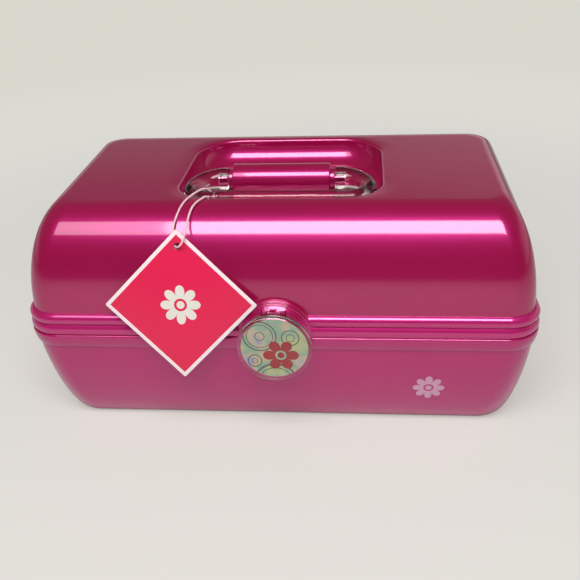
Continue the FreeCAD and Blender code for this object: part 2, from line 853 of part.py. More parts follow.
def tray_bracket():
    """The right-hand bracket: a plate that hangs from the lid's end wall and holds both rear pins."""
    spots = bracket_screw_spots()
    chain = [lower_rear_pin, upper_rear_pin, spots[0], spots[1], lower_rear_pin]
    plate = Part.Face(Part.makePolygon([Vector(bracket_x, y, z) for y, z in chain]))
    pieces = [plate.extrude(Vector(bracket_thickness, 0, 0))]
    for y, z in chain[:-1]:
        pieces.append(rod_x(tray_boss_radius, bracket_x, bracket_x + bracket_thickness, y, z))
    for start, end in zip(chain[:-1], chain[1:]):
        along = Vector(0, end[0] - start[0], end[1] - start[1]).normalize()
        across = Vector(0, -along.z, along.y) * tray_boss_radius
        ends = [Vector(bracket_x, *start), Vector(bracket_x, *end)]
        corners = [ends[0] + across, ends[1] + across, ends[1] - across, ends[0] - across]
        strip = Part.Face(Part.makePolygon(corners + corners[:1]))
        pieces.append(strip.extrude(Vector(bracket_thickness, 0, 0)))
    through = bracket_x + bracket_thickness + 1
    holes = [rod_x(link_pin_radius, bracket_x - 1, through, *pin) for pin in chain[:2]]
    holes += [rod_x(screw_radius, bracket_x - 1, through, y, z) for y, z in spots]
    return fused(pieces).cut(together(holes))


def bracket_screws():
    screws = []
    for y, z in bracket_screw_spots():
        shank = rod_x(screw_radius, bracket_x - pin_head_height, bracket_x + bracket_screw_length, y, z)
        head = rod_x(screw_head_radius, bracket_x - pin_head_height, bracket_x, y, z)
        screws.append(fused([shank, head]))
    return both_sides(screws)


# ---------------------------------------------------------------- mirror
def mirror_sheet(grow, z0, z1, corner):
    x = mirror_width / 2 + grow
    y = mirror_depth / 2 + grow
    return slab(-x, x, mirror_y - y, mirror_y + y, z0, z1, corner)


def mirror_frame():
    body = mirror_sheet(mirror_frame_border, mirror_frame_bottom, mirror_top_z, mirror_corner)
    face_z = mirror_frame_bottom + mirror_frame_lip
    corner = mirror_corner - mirror_frame_border
    seat = mirror_sheet(running_gap, face_z, face_z + mirror_thickness, corner)
    lap = mirror_frame_lap
    window = mirror_sheet(-lap, mirror_frame_bottom - 1, face_z + 1, corner - lap)
    body = body.cut(seat).cut(window)
    holes = []
    for x, y in mirror_screw_spots():
        low, high = Vector(x, y, mirror_frame_bottom - 1), Vector(x, y, mirror_top_z + 1)
        holes.append(rod(screw_radius, low, high))
    return body.cut(together(holes))


def mirror_glass():
    face_z = mirror_frame_bottom + mirror_frame_lip
    return mirror_sheet(0.0, face_z, face_z + mirror_thickness, mirror_corner - mirror_frame_border)


def mirror_screws():
    screws = []
    for x, y in mirror_screw_spots():
        head_z = mirror_frame_bottom - pin_head_height
        shank = rod(screw_radius, Vector(x, y, head_z), Vector(x, y, mirror_top_z + screw_length - 2.0))
        head = rod(screw_head_radius, Vector(x, y, head_z), Vector(x, y, mirror_frame_bottom))
        screws.append(fused([shank, head]))
    return Part.makeCompound(screws)


# ---------------------------------------------------------------- hang tag and string
def hang_tag():
    half = tag_side / 2
    card = slab(-half, half, -half, half, -tag_thickness / 2, tag_thickness / 2, 1.0)
    corner = half - tag_hole_from_corner / math.sqrt(2)
    card = card.cut(rod(tag_hole_radius, Vector(corner, corner, -1), Vector(corner, corner, 1)))
    card.rotate(Vector(0, 0, 0), Vector(0, 0, 1), 45)
    card.rotate(Vector(0, 0, 0), Vector(1, 0, 0), 90 - tag_lean)
    card.translate(tag_centre)
    return card


# The string leaves a knot behind the tag, goes up over the lid's edge and the bail's bar, returns under
# the bar and down in front of the tag, and goes through the tag's hole to the knot.
string_route = [
    (-61.9, -92.1, 141.3),
    (-62.9, -88.9, 144.7),
    (-63.3, -84.9, 148.6),
    (-62.9, -80.3, 152.4),
    (-61.9, -74.9, 155.9),
    (-60.2, -68.6, 158.5),
    (-57.4, -62.2, 160.5),
    (-53.5, -56.0, 161.3),
    (-48.9, -50.6, 160.5),
    (-45.0, -47.9, 157.5),
    (-43.0, -47.3, 152.8),
    (-42.4, -50.0, 149.2),
    (-42.8, -54.4, 148.0),
    (-43.6, -58.4, 150.2),
    (-44.4, -58.65, 155.8),
    (-46.1, -59.7, 160.9),
    (-48.8, -65.2, 160.8),
    (-51.2, -70.9, 159.0),
    (-52.9, -76.6, 156.2),
    (-53.8, -82.4, 152.6),
    (-53.9, -88.7, 149.9),
    (-53.6, -95.2, 149.0),
    (-54.4, -98.9, 145.0),
    (-57.2, -99.6, 141.0),
    (-60.2, -96.6, 139.4),
    (-62.1, -92.9, 139.2),
]


def string_path():
    """Straight runs joined by tangent arcs, each as large as its two runs allow."""
    points = [Vector(*p) for p in string_route]
    edges = []
    last = points[0]
    for before, here, after in zip(points, points[1:], points[2:]):
        towards, away = before - here, after - here
        turn = math.pi - towards.getAngle(away)
        shorter = min(towards.Length, away.Length)
        reach = 0.45 * shorter
        radius = reach / math.tan(turn / 2)
        start = here + towards.normalize() * reach
        end = here + away.normalize() * reach
        inwards = (start + end - here * 2).normalize()
        middle = here + inwards * (radius / math.cos(turn / 2) - radius)
        edges.append(Part.makeLine(last, start))
        edges.append(Part.Arc(start, middle, end).toShape())
        last = end
    edges.append(Part.makeLine(last, points[-1]))
    return Part.Wire(edges)


def tag_string():
    path = string_path()
    start, after = Vector(*string_route[0]), Vector(*string_route[1])
    section = ring_wire(string_diameter / 2, start, after - start)
    tube = path.makePipeShell([section], True, False)
    ideal = math.pi * string_diameter**2 / 4 * path.Length
    print("string length", round(path.Length, 1), "volume share", round(tube.Volume / ideal, 4))
    return tube


def string_knot():
    return Part.makeSphere(knot_radius, knot_centre)


# ---------------------------------------------------------------- output
right_lower_arm = swing_arm(lower_pivot_y, lower_front_pin, outer_arm_x)
right_upper_arm = swing_arm(upper_pivot_y, upper_front_pin, inner_arm_x)
right_bracket = tray_bracket()
parts = {
    "base_shell": base_shell(),
    "lid_shell": lid_shell(),
    "hinge_pins": hinge_pins(),
    "handle_barrel": handle_barrel(),
    "barrel_screws": barrel_screws(),
    "handle_bail": handle_bail(),
    "handle_pins": handle_pins(),
    "clasp_lever": clasp_lever(),
    "clasp_pin": clasp_pin(),
    "medallion_print": medallion_print(),
    "medallion_lens": medallion_lens(),
    "lower_tray": lower_tray(),
    "upper_tray": upper_tray(),
    "lower_arm_right": right_lower_arm,
    "lower_arm_left": mirrored(right_lower_arm),
    "upper_arm_right": right_upper_arm,
    "upper_arm_left": mirrored(right_upper_arm),
    "arm_pivot_pins": arm_pivot_pins(),
    "lower_tray_front_pins": tray_front_pins(lower_front_pin, outer_arm_x),
    "upper_tray_front_pins": tray_front_pins(upper_front_pin, inner_arm_x),
    "tray_rear_pins": tray_rear_pins(),
    "tray_bracket_right": right_bracket,
    "tray_bracket_left": mirrored(right_bracket),
    "bracket_screws": bracket_screws(),
    "mirror_frame": mirror_frame(),
    "mirror_glass": mirror_glass(),
    "mirror_screws": mirror_screws(),
    "hang_tag": hang_tag(),
    "tag_string": tag_string(),
    "string_knot": string_knot(),
}

os.makedirs("parts", exist_ok=True)
for name, shape in parts.items():
    shape.exportStep(os.path.join("parts", name + ".step"))
    print(name, len(shape.Solids), shape.isValid(), round(shape.Volume / 1000.0, 2))
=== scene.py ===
import math

import bmesh
import bpy
from mathutils import Matrix, Vector


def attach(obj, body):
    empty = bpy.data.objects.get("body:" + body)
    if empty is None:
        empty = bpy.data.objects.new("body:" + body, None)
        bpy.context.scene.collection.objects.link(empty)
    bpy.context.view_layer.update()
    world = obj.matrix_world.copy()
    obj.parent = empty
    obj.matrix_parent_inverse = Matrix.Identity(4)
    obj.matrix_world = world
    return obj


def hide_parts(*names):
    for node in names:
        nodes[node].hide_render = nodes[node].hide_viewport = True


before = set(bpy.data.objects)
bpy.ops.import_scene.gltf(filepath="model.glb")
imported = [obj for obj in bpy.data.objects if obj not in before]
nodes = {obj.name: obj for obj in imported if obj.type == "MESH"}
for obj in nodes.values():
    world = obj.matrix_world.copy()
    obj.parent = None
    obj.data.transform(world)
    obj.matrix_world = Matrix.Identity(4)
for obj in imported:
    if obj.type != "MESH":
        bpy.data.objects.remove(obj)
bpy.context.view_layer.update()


# ------------------------------------------------------------------ camera
# A camera on a stand in front of the case, a little to its right and looking down at it, turned by
# less than three degrees about its own line of sight.
def mm(*values):
    """A place or a length given in millimetres, in metres."""
    return Vector(values) * 0.001 if len(values) > 1 else values[0] * 0.001


yaw, tilt, roll = (math.radians(angle) for angle in (6.26, 29.05, -2.78))
ahead = Vector((-math.sin(yaw) * math.cos(tilt), math.cos(yaw) * math.cos(tilt), -math.sin(tilt)))
level = Vector((math.cos(yaw), math.sin(yaw), 0.0))
above = level.cross(ahead)
view_right = level * math.cos(roll) + above * math.sin(roll)
view_up = above * math.cos(roll) - level * math.sin(roll)

camera = bpy.data.objects.new("camera", bpy.data.cameras.new("camera"))
bpy.context.scene.collection.objects.link(camera)
camera.data.sensor_width = 36.0
camera.data.lens = 47.96
camera.data.clip_start = 0.01
camera.data.clip_end = 50.0
place = Matrix((view_right, view_up, -ahead)).transposed().to_4x4()
place.translation = mm(56.77, -521.80, 346.92)
camera.matrix_world = place
bpy.context.scene.camera = camera
bpy.context.scene.view_settings.view_transform = "Standard"


# ------------------------------------------------------------------ tag string
# A loop of thin covered elastic, pale pink, tied behind the hang tag. It goes up over the lid's edge and
# the handle's bar, comes back under the bar, and passes through the tag's hole to its own knot.
def linear(code):
    """An sRGB hex colour as the linear colour that a shader takes."""
    parts = [int(code[at : at + 2], 16) / 255 for at in (0, 2, 4)]
    return tuple(p / 12.92 if p <= 0.04045 else ((p + 0.055) / 1.055) ** 2.4 for p in parts) + (1.0,)


def result(node):
    """The first output that a node gives with its settings."""
    return next(socket for socket in node.outputs if socket.enabled)


def feed(node, **results):
    """Links other nodes' results to a node's inputs of those names, with _ for a space."""
    for name, source in results.items():
        node.id_data.links.new(result(source), node.inputs[name.replace("_", " ")])


def add_node(tree, kind, inputs=None, **settings):
    """A node of that kind with its settings. An input takes a value, a socket, or another node's result."""
    made = tree.nodes.new(kind)
    for name, value in settings.items():
        setattr(made, name, value)
    for socket, value in (inputs or {}).items():
        if isinstance(value, bpy.types.Node):
            value = result(value)
        if isinstance(value, bpy.types.NodeSocket):
            tree.links.new(value, made.inputs[socket])
        else:
            made.inputs[socket].default_value = value
    return made


def new_material(name, **settings):
    """A material with a Principled shader whose plain values are given. Returns it, its tree and shader."""
    material = bpy.data.materials.new(name)
    material.use_nodes = True
    shader = material.node_tree.nodes["Principled BSDF"]
    for socket, value in settings.items():
        shader.inputs[socket.replace("_", " ")].default_value = value
    return material, material.node_tree, shader


def finished(obj, material, body, replaced):
    """Gives a piece its material, its body and the CAD node that it stands for."""
    obj.data.materials.clear()
    obj.data.materials.append(material)
    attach(obj, body)
    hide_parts(replaced)
    return obj


# Covered elastic: fine wound yarn round rubber, so the surface is matt with a close slanting rib. The yarn's
# turns are drawn 0.6 mm apart and its fibres 0.4 mm, coarser than real ones so that they show.
elastic, tree, shader = new_material("wound elastic thread", Roughness=0.62, Sheen_Weight=0.25)
where = add_node(tree, "ShaderNodeTexCoord").outputs["Object"]
winding = add_node(
    tree,
    "ShaderNodeTexWave",
    {"Vector": where, "Scale": 620.0, "Distortion": 1.5, "Detail": 2.0},
    bands_direction="DIAGONAL",
)
fibre = add_node(tree, "ShaderNodeTexNoise", {"Vector": where, "Scale": 2400.0, "Detail": 3.0})
# the colour follows the ribs, darker in the grooves between the turns and lighter on them: painted shade
shade = add_node(
    tree,
    "ShaderNodeMix",
    {"Factor": winding.outputs["Fac"], "A": linear("F0B6CA"), "B": linear("FFDCE6")},
    data_type="RGBA",
)
feed(shader, Base_Color=shade)
ribs = add_node(
    tree, "ShaderNodeBump", {"Strength": 0.35, "Distance": 0.0001, "Height": winding.outputs["Fac"]}
)
fuzz = add_node(
    tree, "ShaderNodeBump", {"Strength": 0.2, "Distance": 0.00005, "Height": fibre, "Normal": ribs}
)
feed(shader, Normal=fuzz)

string_diameter = mm(1.3)
string_route = [
    mm(-61.9, -92.1, 141.3),
    mm(-62.9, -88.9, 144.7),
    mm(-63.3, -84.9, 148.6),
    mm(-62.2, -80.3, 152.0),
    mm(-61.0, -74.9, 155.2),
    mm(-59.3, -68.6, 157.6),
    mm(-56.6, -62.2, 158.9),
    mm(-52.6, -56.0, 160.0),
    mm(-48.4, -50.9, 160.6),
    mm(-45.0, -47.9, 157.5),
    mm(-43.0, -47.3, 152.8),
    mm(-42.4, -50.0, 149.2),
    mm(-42.8, -54.4, 148.0),
    mm(-43.6, -58.4, 150.2),
    mm(-44.3, -58.7, 155.6),
    mm(-45.4, -60.4, 158.9),
    mm(-48.2, -65.2, 158.7),
    mm(-51.0, -70.9, 158.2),
    mm(-52.9, -76.6, 156.2),
    mm(-53.8, -82.4, 152.6),
    mm(-53.9, -88.7, 149.9),
    mm(-53.6, -95.2, 149.0),
    mm(-54.4, -98.9, 145.0),
    mm(-57.2, -99.6, 141.0),
    mm(-60.2, -96.6, 139.4),
    mm(-62.1, -92.9, 139.2),
]


def cord_curve(name, points, diameter):
    """A round cord along one smooth NURBS line with these control points."""
    curve = bpy.data.curves.new(name, "CURVE")
    curve.dimensions = "3D"
    curve.bevel_depth = diameter / 2
    curve.bevel_resolution = 4
    curve.resolution_u = 10
    curve.use_fill_caps = True
    line = curve.splines.new("NURBS")
    line.points.add(len(points) - 1)
    for point, spot in zip(line.points, points):
        point.co = (*spot, 1.0)
    line.order_u = 3
    line.use_endpoint_u = True
    obj = bpy.data.objects.new(name, curve)
    bpy.context.scene.collection.objects.link(obj)
    return obj


string_curve = cord_curve("tag_string_elastic", string_route, string_diameter)
string = finished(string_curve, elastic, "hang_tag", "tag_string")


# ------------------------------------------------------------------ string knot
# The overhand knot that closes the elastic loop behind the tag's hole, pulled tight into a small ball of
# three crossing turns.
def mesh_object(name, bm, smooth_degrees=35.0):
    """A mesh object from a bmesh, outward facing, smooth except at edges sharper than the angle."""
    bmesh.ops.remove_doubles(bm, verts=bm.verts, dist=mm(0.002))
    bmesh.ops.recalc_face_normals(bm, faces=bm.faces)
    mesh = bpy.data.meshes.new(name)
    bm.to_mesh(mesh)
    bm.free()
    for face in mesh.polygons:
        face.use_smooth = True
    mesh.set_sharp_from_angle(angle=math.radians(smooth_degrees))
    obj = bpy.data.objects.new(name, mesh)
    bpy.context.scene.collection.objects.link(obj)
    return obj


def skin(bm, loops, closed=True, caps=True):
    """Quads between one loop of points and the next. Closed loops are rings, and caps close both ends."""
    rings = [[bm.verts.new(spot) for spot in loop] for loop in loops]
    for ring, after in zip(rings, rings[1:]):
        count = len(ring) if closed else len(ring) - 1
        for i in range(count):
            j = (i + 1) % len(ring)
            bm.faces.new((ring[i], ring[j], after[j], after[i]))
    if caps:
        bm.faces.new(rings[0][::-1])
        bm.faces.new(rings[-1])


def ring_at(centre, heading, radius, sides):
    """A circle of points about a centre, square to a heading."""
    turn = Vector(heading).normalized().to_track_quat("Z", "Y")
    spots = []
    for i in range(sides):
        angle = 2 * math.pi * i / sides
        spots.append(Vector(centre) + turn @ Vector((radius * math.cos(angle), radius * math.sin(angle), 0)))
    return spots


def knot_mesh(name, centre, size, thread):
    """A tight trefoil of thread about a centre."""
    bm = bmesh.new()
    steps, sides = 72, 8
    path = []
    for i in range(steps):
        angle = 2 * math.pi * i / steps
        path.append(
            Vector(
                (
                    math.sin(angle) + 2 * math.sin(2 * angle),
                    math.cos(angle) - 2 * math.cos(2 * angle),
                    -1.5 * math.sin(3 * angle),
                )
            )
            * (size / 3)
            + centre
        )
    rings = []
    across = Vector((0, 0, 1))
    for i in range(steps):
        along = (path[(i + 1) % steps] - path[i - 1]).normalized()
        across = (across - along * across.dot(along)).normalized()
        other = along.cross(across)
        ring = []
        for k in range(sides):
            angle = 2 * math.pi * k / sides
            outwards = across * math.cos(angle) + other * math.sin(angle)
            ring.append(bm.verts.new(path[i] + outwards * thread / 2))
        rings.append(ring)
    gap = min(range(sides), key=lambda k: (rings[-1][0].co - rings[0][k].co).length)
    rings.append(rings[0][gap:] + rings[0][:gap])
    for ring, after in zip(rings, rings[1:]):
        for k in range(sides):
            n = (k + 1) % sides
            bm.faces.new((ring[k], ring[n], after[n], after[k]))
    return mesh_object(name, bm, 80.0)


knot_centre, knot_size = mm(-62.6, -91.4, 140.1), mm(1.25)
knot_ball = knot_mesh("tag_string_knot", knot_centre, knot_size, string_diameter)
knot = finished(knot_ball, elastic, "hang_tag", "string_knot")


# ------------------------------------------------------------------ hang tag
# A square of stiff card hung by one corner, printed red inside a pale border, with a gloss varnish.
# Its hole is punched near the top corner. The print is a plain daisy.
tag_side, tag_thickness, tag_lean = mm(69.7), mm(0.6), 12.6
tag_centre = mm(-59.4, -104.9, 102.75)
tag_corner_radius, tag_hole_radius, tag_hole_inset = mm(1.0), mm(2.2), mm(10.9)
tag_border, tag_soft_edge = mm(2.4), mm(0.09)
tag_turn = Matrix.Rotation(math.radians(90 - tag_lean), 3, "X") @ Matrix.Rotation(math.radians(45), 3, "Z")


def arc_points(cx, cy, radius, start, sweep, steps):
    """Points (x, y) along an arc, in degrees, both ends included."""
    spots = []
    for i in range(steps + 1):
        angle = math.radians(start + sweep * i / steps)
        spots.append((cx + radius * math.cos(angle), cy + radius * math.sin(angle)))
    return spots


def card_mesh(name):
    """The card: a face with a hole, given its thickness, with softened cut edges."""
    half, r = tag_side / 2, tag_corner_radius
    outline = []
    for sx, sy, start in ((1, -1, -90), (1, 1, 0), (-1, 1, 90), (-1, -1, 180)):
        outline += arc_points(sx * (half - r), sy * (half - r), r, start, 90, 5)
    corner = half - tag_hole_inset / math.sqrt(2)
    hole = arc_points(corner, corner, tag_hole_radius, 0, 360, 32)[:-1]
    bm = bmesh.new()
    edges = []
    for ring in (outline, hole):
        verts = [bm.verts.new((x, y, -tag_thickness / 2)) for x, y in ring]
        edges += [bm.edges.new((a, b)) for a, b in zip(verts, verts[1:] + verts[:1])]
    flat = bmesh.ops.triangle_fill(bm, edges=edges, use_beauty=True)
    faces = [f for f in flat["geom"] if isinstance(f, bmesh.types.BMFace)]
    raised = bmesh.ops.extrude_face_region(bm, geom=faces)
    for vert in raised["geom"]:
        if isinstance(vert, bmesh.types.BMVert):
            vert.co.z += tag_thickness
    bmesh.ops.recalc_face_normals(bm, faces=bm.faces)
    rims = [e for e in bm.edges if len(e.link_faces) == 2 and e.calc_face_angle(0) > 1.0]
    bmesh.ops.bevel(bm, geom=rims, offset=tag_soft_edge, segments=2, profile=0.6, affect="EDGES")
    bmesh.ops.transform(bm, matrix=Matrix.Translation(tag_centre) @ tag_turn.to_4x4(), verts=bm.verts)
    return mesh_object(name, bm, 30.0)


def daisy_mask(tree, x, y, size, petals, hollow):
    """1 on a printed daisy centred where x and y are 0, and 0 off it. A blank ring parts petals and eye."""
    waist, bulge, roundness, eye_share = 0.62, 0.38, 0.45, 0.62
    place = add_node(tree, "ShaderNodeCombineXYZ", {"X": x, "Y": y})
    reach = add_node(tree, "ShaderNodeVectorMath", {0: place}, operation="LENGTH")
    angle = add_node(tree, "ShaderNodeMath", {0: y, 1: x}, operation="ARCTAN2")
    turn = add_node(tree, "ShaderNodeMath", {0: angle, 1: petals / 2}, operation="MULTIPLY")
    wave = add_node(tree, "ShaderNodeMath", {0: turn}, operation="COSINE")
    lobes = add_node(tree, "ShaderNodeMath", {0: wave}, operation="ABSOLUTE")
    rounded = add_node(tree, "ShaderNodeMath", {0: lobes, 1: roundness}, operation="POWER")
    bounds = {0: rounded, 1: size * waist, 2: size * bulge}
    edge = add_node(tree, "ShaderNodeMath", bounds, operation="MULTIPLY_ADD")
    inside = add_node(tree, "ShaderNodeMath", {0: reach, 1: edge}, operation="LESS_THAN")
    off_ring = add_node(tree, "ShaderNodeMath", {0: reach, 1: hollow}, operation="GREATER_THAN")
    petal = add_node(tree, "ShaderNodeMath", {0: inside, 1: off_ring}, operation="MULTIPLY")
    eye = add_node(tree, "ShaderNodeMath", {0: reach, 1: hollow * eye_share}, operation="LESS_THAN")
    return add_node(tree, "ShaderNodeMath", {0: petal, 1: eye}, operation="MAXIMUM")


# Printed card: coated board with a gloss varnish, so the colour is full and even, with faint fibre
# mottling of about 1 mm under a soft sheen. The cut edge and the back are the bare board.
tag_print, tree, shader = new_material(
    "varnished printed card", Roughness=0.42, Coat_Weight=0.25, Coat_Roughness=0.3
)
where = add_node(tree, "ShaderNodeTexCoord").outputs["Object"]
flat_place = add_node(
    tree,
    "ShaderNodeMapping",
    {"Vector": where, "Location": tag_centre, "Rotation": tag_turn.to_euler("XYZ")},
    vector_type="TEXTURE",
)
card = add_node(tree, "ShaderNodeSeparateXYZ", {"Vector": flat_place})
across, upwards = (
    add_node(tree, "ShaderNodeMath", {0: card.outputs[axis]}, operation="ABSOLUTE") for axis in ("X", "Y")
)
furthest = add_node(tree, "ShaderNodeMath", {0: across, 1: upwards}, operation="MAXIMUM")
inner_edge, front_level = tag_side / 2 - tag_border, tag_thickness * 0.35
border = add_node(tree, "ShaderNodeMath", {0: furthest, 1: inner_edge}, operation="GREATER_THAN")
front = add_node(tree, "ShaderNodeMath", {0: card.outputs["Z"], 1: front_level}, operation="GREATER_THAN")
daisy = daisy_mask(tree, card.outputs["X"], card.outputs["Y"], mm(13.0), 8, mm(4.2))
mottle = add_node(tree, "ShaderNodeTexNoise", {"Vector": where, "Scale": 900.0, "Detail": 4.0})
red = add_node(
    tree,
    "ShaderNodeMix",
    {"Factor": mottle, "A": linear("E6104C"), "B": linear("EE1854")},
    data_type="RGBA",
)
printed = add_node(
    tree, "ShaderNodeMix", {"Factor": daisy, "A": red, "B": linear("ECE8DF")}, data_type="RGBA"
)
bordered = add_node(
    tree, "ShaderNodeMix", {"Factor": border, "A": printed, "B": linear("FFEEF2")}, data_type="RGBA"
)
sided = add_node(
    tree, "ShaderNodeMix", {"Factor": front, "A": linear("F3ECE9"), "B": bordered}, data_type="RGBA"
)
feed(shader, Base_Color=sided)
fibres = add_node(tree, "ShaderNodeBump", {"Strength": 0.06, "Distance": 0.0001, "Height": mottle})
feed(shader, Normal=fibres)

finished(card_mesh("hang_tag_card"), tag_print, "hang_tag", "hang_tag")


# ------------------------------------------------------------------ base shell
# The lower half of the case, injection moulded in one piece with a flat bottom, curved walls, a plain
# band round the rim and a locating lip inside it. The plastic is a glossy pearl magenta.
def pearl_plastic(name, low_colour, high_colour, roughness):
    """Moulded ABS with mica pearl: glossy, slightly wavy, with fine sparkling flakes in its colour."""
    material, tree, shader = new_material(
        name,
        Roughness=roughness,
        Metallic=0.3,
        IOR=1.85,
        Specular_Tint=linear("E878FF"),
        Coat_Weight=1.0,
        Coat_Roughness=0.07,
        Coat_IOR=1.6,
    )
    where = add_node(tree, "ShaderNodeTexCoord").outputs["Object"]
    # the mica flakes are about 0.05 mm across, drawn at 0.5 mm so that they show at all
    flakes = add_node(tree, "ShaderNodeTexVoronoi", {"Vector": where, "Scale": 2000.0, "Randomness": 1.0})
    flake_tones = add_node(tree, "ShaderNodeSeparateColor", {"Color": flakes.outputs["Color"]})
    glint = add_node(tree, "ShaderNodeMath", {0: flake_tones, 1: 3.0}, operation="POWER")
    faint_glint = add_node(tree, "ShaderNodeMath", {0: glint, 1: 0.35}, operation="MULTIPLY")
    # slow drifts of the pearl in the melt, about 60 mm long
    flow = add_node(tree, "ShaderNodeTexNoise", {"Vector": where, "Scale": 16.0, "Detail": 3.0})
    shares = {0: flow, 1: 0.8, 2: faint_glint}
    drift = add_node(tree, "ShaderNodeMath", shares, operation="MULTIPLY_ADD")
    colour = add_node(
        tree,
        "ShaderNodeMix",
        {"Factor": drift, "A": linear(low_colour), "B": linear(high_colour)},
        data_type="RGBA",
    )
    feed(shader, Base_Color=colour)
    # the skin's faint waviness, about 9 mm, and a polish haze finer than 1 mm
    waves = add_node(tree, "ShaderNodeTexNoise", {"Vector": where, "Scale": 110.0, "Detail": 1.0})
    haze = add_node(tree, "ShaderNodeTexNoise", {"Vector": where, "Scale": 1500.0, "Detail": 2.0})
    rough = add_node(
        tree,
        "ShaderNodeMapRange",
        {"Value": haze, "To Min": roughness * 0.85, "To Max": roughness * 1.15},
    )
    feed(shader, Roughness=rough)
    skin_bump = add_node(tree, "ShaderNodeBump", {"Strength": 0.12, "Distance": 0.00025, "Height": waves})
    feed(shader, Normal=skin_bump)
    return material, tree, shader, colour


case_width, case_depth = mm(340.0), mm(207.0)
base_height, shell_wall = mm(77.5), mm(2.5)
rim_corner = mm(23.0)
base_inset, band_bottom = mm(2.9), mm(68.1)
base_curves, base_powers, base_foot_corner = (mm(11.5), mm(20.0)), (1.3, 1.6), mm(22.0)
corner_steps = 20
# places of the hinges and of the tray arms' pivots, in millimetres
hinge_centres, hinge_y, hinge_z, knuckle_radius = (-92.0, 92.0), 109.5, 78.0, 5.5
arm_pivots, arm_pivot_z, arm_boss_radius = ((-5.0, 153.4), (30.0, 149.8)), 70.0, 4.5


def round_loop(half_x, front, back, z, front_corner, back_corner=None):
    """A rectangle with round corners at one height, from x -half_x to half_x and y front to back."""
    back_corner = front_corner if back_corner is None else back_corner
    spots = []
    for sx, y, r, start in (
        (1, front, front_corner, -90),
        (1, back, back_corner, 0),
        (-1, back, back_corner, 90),
        (-1, front, front_corner, 180),
    ):
        cy = y + r if y == front else y - r
        arc = arc_points(sx * (half_x - r), cy, r, start, 90, corner_steps)
        spots += [Vector((px, py, z)) for px, py in arc]
    return spots


def wall_loop(share, start_z, rise, inset, wall, curves, powers, end_corner):
    """The wall's outline at a share of its rise, where both walls curve in as a superellipse does."""
    reach = []
    for curve, power in zip(curves, powers):
        left = max(0.0, 1.0 - share**power)
        reach.append((curve - wall) * (1.0 - left ** (1.0 / power)))
    corner = rim_corner - inset - wall
    corner += (max(end_corner - wall, mm(1.0)) - corner) * share
    half_x = case_width / 2 - inset - wall - reach[0]
    half_y = case_depth / 2 - inset - wall - reach[1]
    return round_loop(half_x, -half_y, half_y, start_z + rise * share, corner)


def rim_loop(out, z):
    """The rim's outline moved outwards by out, at one height."""
    return round_loop(case_width / 2 + out, -case_depth / 2 - out, case_depth / 2 + out, z, rim_corner + out)


def arc_through(start, middle, end, steps):
    """Points (out, z) along the circle through three of them, without the first."""
    a, b, c = (complex(*p) for p in (start, middle, end))
    w = (c - a) / (b - a)
    centre = (b - a) * (w - abs(w) ** 2) / (2j * w.imag) + a
    first, last = (a - centre), (c - centre)
    sweep = math.atan2((last / first).imag, (last / first).real)
    by_middle = math.atan2(((b - centre) / first).imag, ((b - centre) / first).real)
    if sweep * by_middle < 0 or abs(by_middle) > abs(sweep):
        sweep -= math.copysign(2 * math.pi, sweep)
    spots = []
    for i in range(1, steps + 1):
        turned = centre + first * complex(math.cos(sweep * i / steps), math.sin(sweep * i / steps))
        spots.append((turned.real, turned.imag))
    return spots


def rod(bm, radius, start, end, soft):
    """A closed round bar with softened ends."""
    along = (end - start).normalized()
    front, back, sides = [], [], 32
    for degrees in (0, 30, 60, 90):
        turn = math.radians(degrees)
        inwards, narrower = along * soft * (1 - math.cos(turn)), soft * (1 - math.sin(turn))
        front.append(ring_at(start + inwards, along, radius - narrower, sides))
        back.append(ring_at(end - inwards, along, radius - narrower, sides))
    skin(bm, front + back[::-1])


def block(bm, low, high, soft=0.0):
    """A closed box with softened edges."""
    made = bmesh.ops.create_cube(bm, size=1.0)["verts"]
    middle, size = (low + high) / 2, high - low
    for vert in made:
        vert.co = Vector([m + v * s for m, v, s in zip(middle, vert.co, size)])
    if soft:
        edges = list(dict.fromkeys(e for v in made for e in v.link_edges))
        bmesh.ops.bevel(bm, geom=edges, offset=soft, segments=2, profile=0.7, affect="EDGES")


